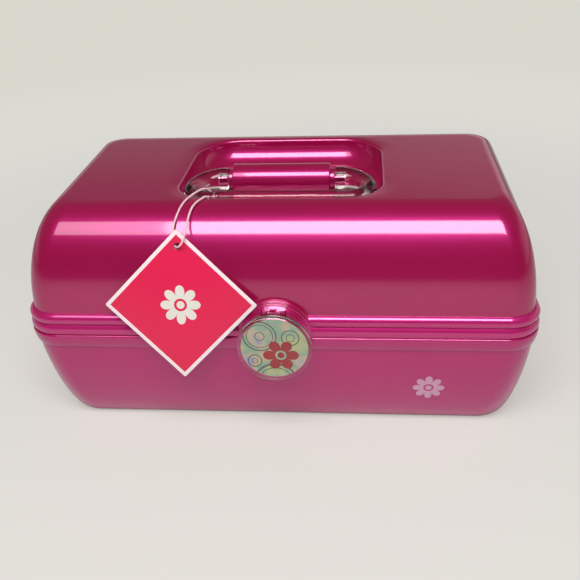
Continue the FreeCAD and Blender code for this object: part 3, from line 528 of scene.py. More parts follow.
def base_mesh(name):
    """The moulded base: bottom, curved walls, band and rim outside, and the room inside."""
    form = (base_curves, base_powers, base_foot_corner)
    outer, inner = [], []
    for i in range(32, -1, -1):
        share = math.sin(math.radians(90.0 * i / 32))
        outer.append(wall_loop(share, band_bottom, -band_bottom, base_inset, 0.0, *form))
    for i in range(17):
        share = math.sin(math.radians(90.0 * i / 16))
        inner.append(wall_loop(share, band_bottom, shell_wall - band_bottom, base_inset, shell_wall, *form))
    top, foot = base_height, band_bottom
    profile = [(mm(-2.2), foot)]
    for start, middle, end, steps in (
        ((mm(-2.2), foot), (mm(-1.7), foot + mm(0.2)), (mm(-1.4), foot + mm(0.7)), 4),
        ((mm(-1.4), foot + mm(0.7)), (mm(-0.25), (top + foot) / 2), (0.0, top - mm(1.0)), 12),
        ((0.0, top - mm(1.0)), (mm(-0.3), top - mm(0.3)), (mm(-1.0), top), 4),
    ):
        profile += arc_through(start, middle, end, steps)
    band = [rim_loop(out, z) for out, z in profile]
    rim = [rim_loop(-base_inset - shell_wall, base_height)]
    bm = bmesh.new()
    skin(bm, outer + band + rim + inner)
    # the lip that keeps the lid in line, on its ledge inside the wall
    lip = [(-8.0, 72.0), (-4.15, 72.0), (-4.15, 75.5), (-6.8, 75.5)]
    lip += [(-6.8, 80.3), (-7.0, 80.5), (-7.8, 80.5), (-8.0, 80.3)]
    loops = [rim_loop(mm(out), mm(z)) for out, z in lip]
    skin(bm, loops + loops[:1], caps=False)
    # the catch that the clasp's hook holds, on the front
    block(bm, mm(-8.0, -106.2, 62.0), mm(8.0, -99.35, 66.0), mm(0.35))
    # hinge knuckles with their webs
    for centre in hinge_centres:
        for x0, x1 in ((centre - 24.3, centre - 8.3), (centre + 8.3, centre + 24.3)):
            rod(bm, mm(knuckle_radius), mm(x0, hinge_y, hinge_z), mm(x1, hinge_y, hinge_z), mm(0.4))
            block(bm, mm(x0, 99.8, 72.5), mm(x1, hinge_y, 77.2), mm(0.3))
    # bosses that the tray arms turn on, from the end walls inwards
    for side in (-1, 1):
        for y, x in arm_pivots:
            low, high = mm(side * (x + 2.7), y, arm_pivot_z), mm(side * 165.85, y, arm_pivot_z)
            rod(bm, mm(arm_boss_radius), low, high, mm(0.2))
    return mesh_object(name, bm, 32.0)


shell_plastic, tree, shader, shell_colour = pearl_plastic(
    "pearl magenta moulded plastic", "A80A48", "B61052", 0.33
)
# the lid's rim below about 94 mm is painted a shade lighter: painted reflection of the bright room and floor
# on the beads' front faces
where = tree.nodes["Texture Coordinate"].outputs["Object"]
height = add_node(tree, "ShaderNodeSeparateXYZ", {"Vector": where})
painted_rim_sheen_share = add_node(
    tree,
    "ShaderNodeMapRange",
    {"Value": height.outputs["Z"], "From Min": mm(94.0), "From Max": mm(91.5)},
    interpolation_type="SMOOTHSTEP",
)
sheened_rim_colour = add_node(
    tree,
    "ShaderNodeMix",
    {"Factor": painted_rim_sheen_share, "A": shell_colour, "B": linear("C82270")},
    data_type="RGBA",
)
feed(shader, Base_Color=sheened_rim_colour)
# the base's front carries a small pad-printed daisy in pale ink near its right-hand end
base_plastic, tree, shader, base_colour = pearl_plastic(
    "pearl magenta moulded plastic with pad print", "B4125C", "C41A6A", 0.33
)
where = tree.nodes["Texture Coordinate"].outputs["Object"]
badge_place = add_node(
    tree, "ShaderNodeMapping", {"Vector": where, "Location": mm(100.0, 0.0, 34.8)}, vector_type="TEXTURE"
)
badge = add_node(tree, "ShaderNodeSeparateXYZ", {"Vector": badge_place})
on_front = add_node(tree, "ShaderNodeMath", {0: badge.outputs["Y"], 1: mm(-90.0)}, operation="LESS_THAN")
badge_daisy = daisy_mask(tree, badge.outputs["X"], badge.outputs["Z"], mm(10.5), 8, mm(3.4))
badge_mask = add_node(tree, "ShaderNodeMath", {0: on_front, 1: badge_daisy}, operation="MULTIPLY")
inked = add_node(
    tree,
    "ShaderNodeMix",
    {"Factor": badge_mask, "A": base_colour, "B": linear("D9A9C6")},
    data_type="RGBA",
)
feed(shader, Base_Color=inked)
finished(base_mesh("base_moulding"), base_plastic, "base", "base_shell")


# ------------------------------------------------------------------ lid shell
# The upper half, moulded from the same plastic: beaded rim, tall curved walls, a flat top with the dished
# recess for the handle, and at the front a stepped half ring that the clasp sits in.
lid_low, lid_top = mm(77.9), mm(157.0)
lid_inset, lid_curve_start = mm(3.7), mm(86.2)
lid_curves, lid_powers, lid_top_corner = (mm(23.0), mm(37.6)), (1.95, 2.2), mm(14.0)
recess_half, recess_front, recess_back = mm(68.6), mm(-58.8), mm(58.8)
recess_front_corner, recess_back_corner = mm(26.8), mm(31.8)
recess_cove, recess_depth, recess_lip = mm(16.0), mm(18.0), mm(2.4)
clasp_z, housing_z, housing_radius = mm(75.5), mm(79.5), mm(24.8)
# places of the clasp's pin, and of the bosses for the brackets and the mirror, in millimetres
clasp_pin_y, clasp_pin_z, ear_inner_x, ear_outer_x = -104.2, 96.5, 4.3, 7.3
bracket_screw_places, mirror_screw_x, mirror_screw_y = ((40.0, 106.0), (62.0, 100.0)), 118.5, 56.5


def recess_loop(grow, z):
    """The recess's outline, larger all round by grow, at one height."""
    front, back = recess_front - grow, recess_back + grow
    corners = (recess_front_corner + grow, recess_back_corner + grow)
    return round_loop(recess_half + grow, front, back, z, *corners)


def between(first, last, share, z):
    """A loop part of the way from one to another, at one height."""
    return [Vector((*a.lerp(b, share).xy, z)) for a, b in zip(first, last)]


def lid_walls():
    """Loops from under the recess, down the inside, and up the outside to the recess's floor."""
    form = (lid_curves, lid_powers, lid_top_corner)
    cove = recess_cove + shell_wall
    under = []
    # the last ring under the cove comes out level with the ceiling
    for degrees in (90, 80, 70, 60, 50, 40, 30, 20, 10, 1.55):
        turn = math.radians(degrees)
        grow = shell_wall - cove * (1 - math.cos(turn))
        under.append(recess_loop(grow, lid_top - mm(2.0) - cove * math.sin(turn)))
    rise = lid_top - shell_wall - lid_curve_start
    inner = [wall_loop(0.998, lid_curve_start, rise, lid_inset, shell_wall, *form)]
    ceiling = inner[0][0].z
    under.append(between(under[-1], inner[0], 0.5, ceiling))
    for i in range(15, -1, -1):
        share = math.sin(math.radians(86.0 * i / 16))
        inner.append(wall_loop(share, lid_curve_start, rise, lid_inset, shell_wall, *form))
    inner.append(rim_loop(-lid_inset - shell_wall, lid_low))
    outer = [rim_loop(-lid_inset, lid_low)]
    rise = lid_top - lid_curve_start
    # the outside stops just short of the top, which the next rings round off into the flat
    for i in range(41):
        share = math.sin(math.radians(87.7 * i / 40))
        outer.append(wall_loop(share, lid_curve_start, rise, lid_inset, 0.0, *form))
    shoulder, lip = outer[-1], recess_loop(recess_lip, lid_top)
    for share in (0.015, 0.05, 0.12, 0.3, 0.6, 0.85):
        settle = min(1.0, share / 0.3)
        outer.append(between(shoulder, lip, share, shoulder[0].z + (lid_top - shoulder[0].z) * settle))
    for degrees in (90, 72, 54, 36, 18, 0):
        turn = math.radians(degrees)
        grow = recess_lip * (1 - math.cos(turn))
        outer.append(recess_loop(grow, lid_top - recess_lip * (1 - math.sin(turn))))
    floor = lid_top - recess_depth
    for i in range(17):
        turn = math.radians(90.0 * i / 16)
        grow = -recess_cove * (1 - math.cos(turn))
        outer.append(recess_loop(grow, floor + recess_cove * (1 - math.sin(turn))))
    return under + inner + outer


def lid_beads(bm):
    """Two rounded beads round the rim, from one side of the clasp's housing to the other."""
    profile = [(mm(-0.9), lid_low)]
    for start, middle, end, steps in (
        ((-0.9, 77.9), (0.0, 81.45), (-1.3, 84.8), 12),
        ((-1.3, 84.8), (-1.7, 85.0), (-1.5, 85.2), 3),
        ((-1.5, 85.2), (-0.3, 88.55), (-1.9, 91.7), 12),
        ((-1.9, 91.7), (-2.6, 92.2), (-3.7, 92.6), 4),
    ):
        profile += [(mm(out), mm(z)) for out, z in arc_through(start, middle, end, steps)]
    profile += [(mm(-4.95), mm(92.6)), (mm(-4.95), lid_low)]
    stop = housing_radius - mm(1.2)
    centre_x, centre_y = case_width / 2 - rim_corner, case_depth / 2 - rim_corner
    stations = []
    for sx, sy, start in ((1, -1, -90), (1, 1, 0), (-1, 1, 90), (-1, -1, 180)):
        for i in range(corner_steps + 1):
            turn = math.radians(start + 90.0 * i / corner_steps)
            outwards = Vector((math.cos(turn), math.sin(turn)))
            stations.append((Vector((sx * centre_x, sy * centre_y)), outwards))
    loops = []
    for side in (1, -1):
        ends = []
        for out, z in profile:
            x = side * math.sqrt(stop**2 - (z - housing_z) ** 2)
            ends.append(Vector((x, -case_depth / 2 - out, z)))
        loops.append(ends)
    ring = []
    for centre, outwards in stations:
        ring.append([Vector((*(centre + outwards * (rim_corner + out)), z)) for out, z in profile])
    skin(bm, loops[:1] + ring + loops[1:])


def cut_away(bm, low, high):
    """The same mesh with a box taken out of it."""
    pair = []
    for name in ("whole", "tool"):
        mesh = bpy.data.meshes.new(name)
        obj = bpy.data.objects.new(name, mesh)
        bpy.context.scene.collection.objects.link(obj)
        pair.append(obj)
    bmesh.ops.recalc_face_normals(bm, faces=bm.faces)
    bm.to_mesh(pair[0].data)
    bm.free()
    tool = bmesh.new()
    block(tool, low, high)
    tool.to_mesh(pair[1].data)
    tool.free()
    cutter = pair[0].modifiers.new("pocket", "BOOLEAN")
    cutter.operation = "DIFFERENCE"
    cutter.solver = "EXACT"
    cutter.object = pair[1]
    remainder = bmesh.new()
    remainder.from_object(pair[0], bpy.context.evaluated_depsgraph_get())
    for obj in pair:
        bpy.data.meshes.remove(obj.data)
    return remainder


def housing():
    """The stepped half disc behind the clasp, with the pocket that the clasp's eye turns in."""
    profile = [(19.9, -107.3), (20.3, -107.2), (22.6, -104.9)]
    profile += [(22.8, -104.6), (22.8, -104.45), (22.95, -104.3)]
    steps = ((23.8, -104.3), (24.8, -102.3))
    for radius, y in steps:
        profile += [(radius - 0.42, y), (radius - 0.2, y + 0.05)]
        profile += [(radius - 0.05, y + 0.2), (radius, y + 0.42)]
        if (radius, y) != steps[-1]:
            profile += [(radius, y + 1.85), (radius + 0.15, y + 2.0)]
    profile.append((24.8, -97.8))
    cut = lid_low - housing_z
    loops = []
    for r, y in profile:
        low = math.asin(cut / mm(r))
        sweep = math.pi - 2 * low
        arc = [low + sweep * i / 72 for i in range(73)]
        r, y = mm(r), mm(y)
        loop = [Vector((r * math.cos(turn), y, housing_z + r * math.sin(turn))) for turn in arc]
        loops.append(loop + [loop[-1].lerp(loop[0], i / 8) for i in range(1, 8)])
    bm = bmesh.new()
    skin(bm, loops)
    return cut_away(bm, mm(-7.9, -120.0, 50.0), mm(7.9, -101.2, 99.7))


def lid_mesh(name):
    """The moulded lid with everything that is moulded on it."""
    bm = bmesh.new()
    skin(bm, lid_walls())
    lid_beads(bm)
    half_disc = bpy.data.meshes.new("half_disc")
    made = housing()
    made.to_mesh(half_disc)
    made.free()
    bm.from_mesh(half_disc)
    bpy.data.meshes.remove(half_disc)
    # ears that hold the clasp's pin, and bosses for the brackets' screws
    for side in (-1, 1):
        low, high = side * ear_inner_x, side * ear_outer_x
        rod(bm, mm(2.6), mm(low, clasp_pin_y, clasp_pin_z), mm(high, clasp_pin_y, clasp_pin_z), mm(0.2))
        low, high = sorted((low, high))
        block(bm, mm(low, -107.1, 93.9), mm(high, -99.9, 99.6), mm(0.2))
        for y, z in bracket_screw_places:
            rod(bm, mm(4.6), mm(side * 159.5, y, z), mm(side * 164.5, y, z), mm(0.3))
    # hinge knuckles with their webs
    for centre in hinge_centres:
        x0, x1 = centre - 8, centre + 8
        rod(bm, mm(knuckle_radius), mm(x0, hinge_y, hinge_z), mm(x1, hinge_y, hinge_z), mm(0.4))
        block(bm, mm(x0, 99.8, 78.8), mm(x1, hinge_y, 83.5), mm(0.3))
    # bosses for the mirror's screws
    for x in (-mirror_screw_x, mirror_screw_x):
        for y in (-mirror_screw_y, mirror_screw_y):
            rod(bm, mm(4.2), mm(x, y, 131.0), mm(x, y, 153.5), mm(0.3))
    return mesh_object(name, bm, 32.0)


finished(lid_mesh("lid_moulding"), shell_plastic, "lid", "lid_shell")


# ------------------------------------------------------------------ pins and screws
# Turned steel pins through the hinges, arms, clasp and handle, and cross-head screws that hold the barrel,
# the brackets and the mirror. All are zinc plated and bright, but the handle's pins are painted a dark
# pinkish grey: painted shade and painted reflection of the recess round them.
def coat(material, *names):
    """Gives CAD nodes, which keep their own shape, their material."""
    for name in names:
        nodes[name].data.materials.clear()
        nodes[name].data.materials.append(material)


def plated_steel(name, colour, roughness):
    """Zinc-plated steel: a smooth metal whose plating is slightly cloudy, in patches of about 2.5 mm."""
    material, tree, shader = new_material(name, Metallic=1.0, Roughness=roughness)
    where = add_node(tree, "ShaderNodeTexCoord").outputs["Object"]
    cloud = add_node(tree, "ShaderNodeTexNoise", {"Vector": where, "Scale": 420.0, "Detail": 4.0})
    tone = add_node(
        tree,
        "ShaderNodeMix",
        {"Factor": cloud, "A": linear(colour), "B": linear("E8E7E4")},
        data_type="RGBA",
    )
    feed(shader, Base_Color=tone)
    worn = add_node(
        tree, "ShaderNodeMapRange", {"Value": cloud, "To Min": roughness * 0.7, "To Max": roughness * 1.4}
    )
    feed(shader, Roughness=worn)
    return material


steel = plated_steel("bright zinc-plated steel", "C9C8C6", 0.24)
coat(steel, "hinge_pins", "arm_pivot_pins", "clasp_pin")
coat(steel, "tray_rear_pins", "lower_tray_front_pins", "upper_tray_front_pins")
# the handle's pins: dark pinkish grey, painted shade and painted reflection of the recess round them
coat(plated_steel("steel darkened as painted shade", "6E6468", 0.3), "handle_pins")


def screw_nodes():
    """Nodes that stand one cross-head screw on every point, driven along the point's heading."""
    tree = bpy.data.node_groups.new("cross_head_screws", "GeometryNodeTree")
    tree.interface.new_socket("Places", in_out="INPUT", socket_type="NodeSocketGeometry")
    for name in ("Head Radius", "Head Height", "Shank Radius", "Length"):
        tree.interface.new_socket(name, in_out="INPUT", socket_type="NodeSocketFloat")
    tree.interface.new_socket("Finish", in_out="INPUT", socket_type="NodeSocketMaterial")
    tree.interface.new_socket("Screws", in_out="OUTPUT", socket_type="NodeSocketGeometry")
    given = add_node(tree, "NodeGroupInput").outputs
    height, radius, length = given["Head Height"], given["Head Radius"], given["Length"]
    half, rim_level, slot_length, slot_width, slot_depth = (
        add_node(tree, "ShaderNodeMath", {0: size, 1: share}, operation="MULTIPLY")
        for size, share in ((height, 0.5), (height, -0.3), (radius, 1.2), (radius, 0.26), (height, 1.1))
    )
    disc = add_node(
        tree,
        "GeometryNodeMeshCylinder",
        {"Vertices": 32, "Side Segments": 2, "Radius": radius, "Depth": height},
    )
    # the disc's outer edge is drawn in, which domes the head
    place = add_node(tree, "GeometryNodeInputPosition")
    level = add_node(tree, "ShaderNodeSeparateXYZ", {0: place}).outputs["Z"]
    outer = add_node(tree, "FunctionNodeCompare", {"A": level, "B": rim_level}, operation="LESS_THAN")
    drawn_in = add_node(tree, "ShaderNodeVectorMath", {0: place, 1: (0.8, 0.8, 1.0)}, operation="MULTIPLY")
    domed = add_node(
        tree, "GeometryNodeSetPosition", {"Geometry": disc, "Selection": outer, "Position": drawn_in}
    )
    lift = add_node(tree, "ShaderNodeCombineXYZ", {"Z": half})
    head = add_node(tree, "GeometryNodeTransform", {"Geometry": domed, "Translation": lift})
    # the shank runs from the middle of the head to the screw's end
    shank_length = add_node(tree, "ShaderNodeMath", {0: length, 1: half}, operation="SUBTRACT")
    bar_sizes = {"Vertices": 24, "Radius": given["Shank Radius"], "Depth": shank_length}
    bar = add_node(tree, "GeometryNodeMeshCylinder", bar_sizes)
    both_ends = add_node(tree, "ShaderNodeMath", {0: length, 1: half}, operation="ADD")
    middle = add_node(tree, "ShaderNodeMath", {0: both_ends, 1: 0.5}, operation="MULTIPLY")
    lift = add_node(tree, "ShaderNodeCombineXYZ", {"Z": middle})
    shank = add_node(tree, "GeometryNodeTransform", {"Geometry": bar, "Translation": lift})
    whole = add_node(tree, "GeometryNodeMeshBoolean", operation="UNION", solver="EXACT")
    for piece in (head, shank):
        tree.links.new(piece.outputs[0], whole.inputs["Mesh 2"])
    driven = add_node(
        tree, "GeometryNodeMeshBoolean", {"Mesh 1": whole}, operation="DIFFERENCE", solver="EXACT"
    )
    for x, y in ((slot_length, slot_width), (slot_width, slot_length)):
        size = add_node(tree, "ShaderNodeCombineXYZ", {"X": x, "Y": y, "Z": slot_depth})
        slot = add_node(tree, "GeometryNodeMeshCube", {"Size": size})
        tree.links.new(slot.outputs["Mesh"], driven.inputs["Mesh 2"])
    heading = add_node(tree, "GeometryNodeInputNamedAttribute", {"Name": "heading"}, data_type="FLOAT_VECTOR")
    turned = add_node(tree, "FunctionNodeAlignRotationToVector", {"Vector": heading}, axis="Z")
    stood = add_node(
        tree,
        "GeometryNodeInstanceOnPoints",
        {"Points": given["Places"], "Instance": driven, "Rotation": turned},
    )
    real = add_node(tree, "GeometryNodeRealizeInstances", {"Geometry": stood})
    coated = add_node(tree, "GeometryNodeSetMaterial", {"Geometry": real, "Material": given["Finish"]})
    add_node(tree, "NodeGroupOutput", {"Screws": coated})
    return tree


cross_head_screws = screw_nodes()
screw_head_radius, screw_radius, low_head_height = mm(2.9), mm(1.5), mm(0.8)


def screws(name, places, head_height, length, replaced):
    """A set of like screws at (place, heading) pairs, as one plain mesh that rides on the lid."""
    mesh = bpy.data.meshes.new(name)
    mesh.from_pydata([place for place, heading in places], [], [])
    headings = mesh.attributes.new("heading", "FLOAT_VECTOR", "POINT")
    for row, (place, heading) in zip(headings.data, places):
        row.vector = heading
    obj = bpy.data.objects.new(name, mesh)
    bpy.context.scene.collection.objects.link(obj)
    modifier = obj.modifiers.new("screws", "NODES")
    modifier.node_group = cross_head_screws
    sizes = {"Head Radius": screw_head_radius, "Head Height": head_height, "Finish": steel}
    sizes |= {"Shank Radius": screw_radius, "Length": length}
    for socket in cross_head_screws.interface.items_tree:
        if socket.name in sizes:
            modifier[socket.identifier] = sizes[socket.name]
    made = bpy.data.meshes.new_from_object(obj.evaluated_get(bpy.context.evaluated_depsgraph_get()))
    obj.modifiers.clear()
    obj.data = made
    bpy.data.meshes.remove(mesh)
    for face in made.polygons:
        face.use_smooth = True
    made.set_sharp_from_angle(angle=math.radians(35.0))
    finished(obj, steel, "lid", replaced)


upward = (0.0, 0.0, 1.0)
barrel_places = [(mm(x, -19.0, 134.7), upward) for x in (-20.0, 20.0)]
screws("barrel_cross_head_screws", barrel_places, mm(1.8), mm(12.0), "barrel_screws")
mirror_places = []
for x in (-mirror_screw_x, mirror_screw_x):
    mirror_places += [(mm(x, y, 123.2), upward) for y in (-mirror_screw_y, mirror_screw_y)]
screws("mirror_cross_head_screws", mirror_places, low_head_height, mm(17.8), "mirror_screws")
bracket_places = []
for side in (-1.0, 1.0):
    bracket_places += [(mm(side * 156.2, y, z), (side, 0.0, 0.0)) for y, z in bracket_screw_places]
screws("bracket_cross_head_screws", bracket_places, low_head_height, mm(6.3), "bracket_screws")


# ------------------------------------------------------------------ handle barrel
# The solid drum in the middle of the recess that carries the handle, moulded in the shell's plastic, on
# a post and with a collar at each end. Two screws hold it from inside the lid.
barrel_y, barrel_z = mm(-19.0), mm(154.2)


def barrel_mesh(name):
    """Drum and collars as one turned form, and the post that runs into the recess's floor."""
    bm = bmesh.new()
    half, radius, soft, collar, collar_radius = 33.5, 10.8, 0.9, 2.8, 7.4
    ends = []
    for degrees in (0, 22.5, 45, 67.5, 90):
        turn = math.radians(degrees)
        ends.append((half - soft * (1 - math.sin(math.pi / 2 - turn)), radius - soft * (1 - math.sin(turn))))
    # a spigot at each end that reaches into the handle's hub, then the collar, then the drum
    profile = [(43.5, 2.6), (43.5, 2.8), (43.2, 3.02), (half + collar, 3.02)]
    profile += [(half + collar, collar_radius - 0.3), (half + collar - 0.3, collar_radius)]
    profile += [(half, collar_radius), (half, radius - soft)] + ends
    line = [(-x, r) for x, r in profile] + profile[::-1]
    middle = Vector((0, barrel_y, barrel_z))
    skin(bm, [ring_at(mm(x, 0, 0) + middle, (1, 0, 0), mm(r), 64) for x, r in line])
    low = Vector((mm(-31.5), barrel_y - mm(7.5), mm(138.9)))
    high = Vector((mm(31.5), barrel_y + mm(7.5), mm(152.0)))
    block(bm, low, high, mm(0.8))
    return mesh_object(name, bm, 32.0)


finished(barrel_mesh("handle_barrel_moulding"), shell_plastic, "lid", "handle_barrel")


# ------------------------------------------------------------------ clear handle
# The carrying handle: one bent bar of clear acrylic, thicker at its hubs and with a slightly thicker
# grip along the front. It folds down into the recess about two steel pins.

# Cast acrylic, polished after moulding: colourless and bright, with a faint swell of about 11 mm in its
# surface and a little haze where hands have rubbed it.
clear_acrylic, tree, shader = new_material(
    "clear cast acrylic", Roughness=0.02, IOR=1.49, Transmission_Weight=1.0, Base_Color=linear("FFF9FB")
)
where = add_node(tree, "ShaderNodeTexCoord").outputs["Object"]
swirl = add_node(tree, "ShaderNodeTexNoise", {"Vector": where, "Scale": 90.0, "Detail": 2.0})
ripple = add_node(tree, "ShaderNodeBump", {"Strength": 0.05, "Distance": 0.0002, "Height": swirl})
feed(shader, Normal=ripple)
scuffs = add_node(tree, "ShaderNodeMapRange", {"Value": swirl, "To Min": 0.01, "To Max": 0.05})
feed(shader, Roughness=scuffs)

bail_front_y, bail_side_x, hub_x = mm(-53.2), mm(59.8), mm(36.9)


def bail_mesh(name):
    """A round bar swept round the handle's path from hub to hub, with a bore in each hub."""
    right = []
    grip = [(0.0, 4.8), (20.0, 4.8), (38.6, 4.8), (38.9, 4.7), (39.05, 4.5), (39.1, 4.4)]
    for x, r in grip:
        right.append((mm(x), bail_front_y, 0.0, mm(r)))
    front_bend, rear_bend = mm(15.0), mm(19.0)
    for degrees in range(0, 91, 5):
        turn = math.radians(degrees - 90)
        x = bail_side_x - front_bend + front_bend * math.cos(turn)
        y = bail_front_y + front_bend + front_bend * math.sin(turn)
        right.append((x, y, degrees, mm(4.4) + mm(0.8) * degrees / 90))
    for degrees in range(0, 91, 5):
        turn = math.radians(degrees)
        x = bail_side_x - rear_bend + rear_bend * math.cos(turn)
        y = barrel_y - rear_bend + rear_bend * math.sin(turn)
        right.append((x, y, 90 + degrees, mm(5.2) + mm(3.0) * degrees / 90))
    # the hub's rounded end, and the bore back into it
    for inwards, r in ((0.5, 8.2), (0.15, 8.05), (0.0, 7.7), (0.0, 3.05), (7.0, 3.05)):
        right.append((hub_x + mm(inwards), barrel_y, 180, mm(r)))
    stations = [(-x, y, -heading, r) for x, y, heading, r in reversed(right)] + right[1:]
    loops = []
    sides = 40
    for x, y, heading, radius in stations:
        turn = math.radians(heading)
        across = Vector((math.sin(turn), -math.cos(turn), 0))
        loop = []
        for k in range(sides):
            angle = 2 * math.pi * k / sides
            rise = Vector((0, 0, radius * math.sin(angle)))
            loop.append(Vector((x, y, barrel_z)) + across * radius * math.cos(angle) + rise)
        loops.append(loop)
    bm = bmesh.new()
    skin(bm, loops)
    return mesh_object(name, bm, 40.0)


finished(bail_mesh("clear_handle"), clear_acrylic, "handle", "handle_bail")


# ------------------------------------------------------------------ clasp
# A rocking lever on a pin in the lid whose hook holds a catch on the base. Its front is a thick clear
# lens over a printed foil disc, with a clear rim outside the print.
coat(shell_plastic, "clasp_lever")

# Printed foil: a pearly, slightly iridescent film with line work, under the lens. Its tints drift over
# about 18 mm, as the film's thickness does.
foil, tree, shader = new_material("printed iridescent foil", Metallic=0.6, Roughness=0.34)
where = add_node(tree, "ShaderNodeTexCoord").outputs["Object"]
disc_place = add_node(
    tree, "ShaderNodeMapping", {"Vector": where, "Location": (0, 0, clasp_z)}, vector_type="TEXTURE"
)
disc = add_node(tree, "ShaderNodeSeparateXYZ", {"Vector": disc_place})
foil_x, foil_z = disc.outputs["X"], disc.outputs["Z"]
tint = add_node(tree, "ShaderNodeTexNoise", {"Vector": where, "Scale": 55.0, "Detail": 2.0})
film = add_node(tree, "ShaderNodeValToRGB", {"Fac": tint})
stops = film.color_ramp.elements
stops[0].position, stops[0].color = 0.3, linear("AEE094")
stops[1].position, stops[1].color = 0.72, linear("A9C6F6")
for at, code in ((0.42, "DCF0B4"), (0.52, "A6DCC2"), (0.62, "EEE6C4")):
    stops.new(at).color = linear(code)


def ring_mask(tree, x, z, centre, radius, width):
    """1 on a printed circle of that radius and line width, 0 off it."""
    place = add_node(tree, "ShaderNodeCombineXYZ", {"X": x, "Y": z})
    middle = (*centre, 0.0)
    reach = add_node(tree, "ShaderNodeVectorMath", {0: place, 1: middle}, operation="DISTANCE")
    off = add_node(tree, "ShaderNodeMath", {0: reach, 1: radius}, operation="SUBTRACT")
    size = add_node(tree, "ShaderNodeMath", {0: off}, operation="ABSOLUTE")
    return add_node(tree, "ShaderNodeMath", {0: size, 1: width / 2}, operation="LESS_THAN")


lines = 0.0
for cx, cz, radius, width in (
    (-9.0, 9.0, 10.5, 1.0),
    (-9.0, 9.0, 8.4, 0.6),
    (-9.0, 9.0, 3.0, 0.6),
    (10.5, 8.0, 5.5, 0.8),
    (10.5, 8.0, 2.6, 0.5),
    (-13.0, -9.5, 4.4, 0.8),
    (-13.0, -9.5, 1.8, 0.5),
    (0.0, -26.0, 14.0, 1.4),
    (0.0, -26.0, 11.2, 0.7),
):
    ring = ring_mask(tree, foil_x, foil_z, (mm(cx), mm(cz)), mm(radius), mm(width))
    lines = add_node(tree, "ShaderNodeMath", {0: lines, 1: ring}, operation="MAXIMUM")
thin_ink = add_node(tree, "ShaderNodeMath", {0: lines, 1: 0.85}, operation="MULTIPLY")
inked = add_node(
    tree, "ShaderNodeMix", {"Factor": thin_ink, "A": film, "B": linear("4E6654")}, data_type="RGBA"
)
flower_x = add_node(tree, "ShaderNodeMath", {0: foil_x, 1: mm(4.0)}, operation="SUBTRACT")
flower_z = add_node(tree, "ShaderNodeMath", {0: foil_z, 1: mm(5.0)}, operation="ADD")
flower = daisy_mask(tree, flower_x, flower_z, mm(11.5), 6, mm(3.6))
red_mix = add_node(
    tree,
    "ShaderNodeMix",
    {"Factor": tint, "A": linear("B40018"), "B": linear("CC0822")},
    data_type="RGBA",
)
flowered = add_node(tree, "ShaderNodeMix", {"Factor": flower, "A": inked, "B": red_mix}, data_type="RGBA")
feed(shader, Base_Color=flowered)
coat(foil, "medallion_print")


def lens_mesh(name):
    """The lens as a turned form: gently domed front, rolled edge and the seat for the print behind."""
    radius, front, back, seat = 24.1, -115.0, -110.6, -111.45
    profile = [(0.0, front), (6.0, front + 0.01), (12.0, front + 0.05)]
    profile += [(17.0, front + 0.11), (20.5, front + 0.2), (22.0, front + 0.3)]
    for degrees in (0, 20, 40, 60, 80, 90):
        turn = math.radians(degrees)
        profile.append((22.8 + 1.3 * math.sin(turn), front + 0.4 + 1.3 * (1 - math.cos(turn))))
    profile += [(radius, back - 0.25), (radius - 0.25, back), (21.6, back), (21.55, back - 0.05)]
    profile += [(21.55, seat), (0.0, seat)]
    bm = bmesh.new()
    sides = 96
    loops = []
    for i in range(sides + 1):
        turn = 2 * math.pi * i / sides
        x, z = math.cos(turn), math.sin(turn)
        loops.append([Vector((mm(r) * x, mm(y), clasp_z + mm(r) * z)) for r, y in profile])
    skin(bm, loops, closed=False, caps=False)
    return mesh_object(name, bm, 35.0)


finished(lens_mesh("clasp_lens"), clear_acrylic, "clasp", "medallion_lens")


# ------------------------------------------------------------------ trays, arms and brackets
# Two divided trays that rise with the lid. Each is carried by a pair of swing arms from the base's end
# walls and by brackets on the lid, all moulded in a lighter pink of the same plastic.
tray_plastic = pearl_plastic("light pink moulded plastic", "CE5C8B", "D96A99", 0.3)[0]
coat(tray_plastic, "lower_tray", "upper_tray", "lower_arm_right", "lower_arm_left")
coat(tray_plastic, "upper_arm_right", "upper_arm_left", "tray_bracket_right", "tray_bracket_left")


# ------------------------------------------------------------------ mirror
# A silvered glass mirror, held in a frame that is moulded in the shell's plastic and screwed to four
# bosses inside the lid.

# Silvered glass: a clean, cool reflection whose tone drifts very slightly, over about 70 mm.
silvered, tree, shader = new_material("silvered mirror glass", Metallic=1.0, Roughness=0.015)
where = add_node(tree, "ShaderNodeTexCoord").outputs["Object"]
ageing = add_node(tree, "ShaderNodeTexNoise", {"Vector": where, "Scale": 14.0, "Detail": 4.0})
tone = add_node(
    tree,
    "ShaderNodeMix",
    {"Factor": ageing, "A": linear("E9EEEC"), "B": linear("F4F6F5")},
    data_type="RGBA",
)
feed(shader, Base_Color=tone)
coat(silvered, "mirror_glass")
coat(shell_plastic, "mirror_frame")


# ------------------------------------------------------------------ floor and light
# A plain warm pale-grey sweep under and behind the case, two large soft lamps over its front, and even
# light from all round that is weaker in front, where the room is.
floor_bm = bmesh.new()
bmesh.ops.create_grid(floor_bm, x_segments=1, y_segments=1, size=6.0)
for vert in floor_bm.verts:
    vert.co.z = -0.0002
floor = mesh_object("floor", floor_bm)
# matt paper: no gloss, and a grain of about 3 mm in its tone
paper, tree, shader = new_material("matt paper sweep", Roughness=0.9)
where = add_node(tree, "ShaderNodeTexCoord").outputs["Object"]
grain = add_node(tree, "ShaderNodeTexNoise", {"Vector": where, "Scale": 300.0, "Detail": 3.0})
paper_tone = add_node(
    tree,
    "ShaderNodeMix",
    {"Factor": grain, "A": linear("DEDCD5"), "B": linear("E1DFD8")},
    data_type="RGBA",
)
feed(shader, Base_Color=paper_tone)
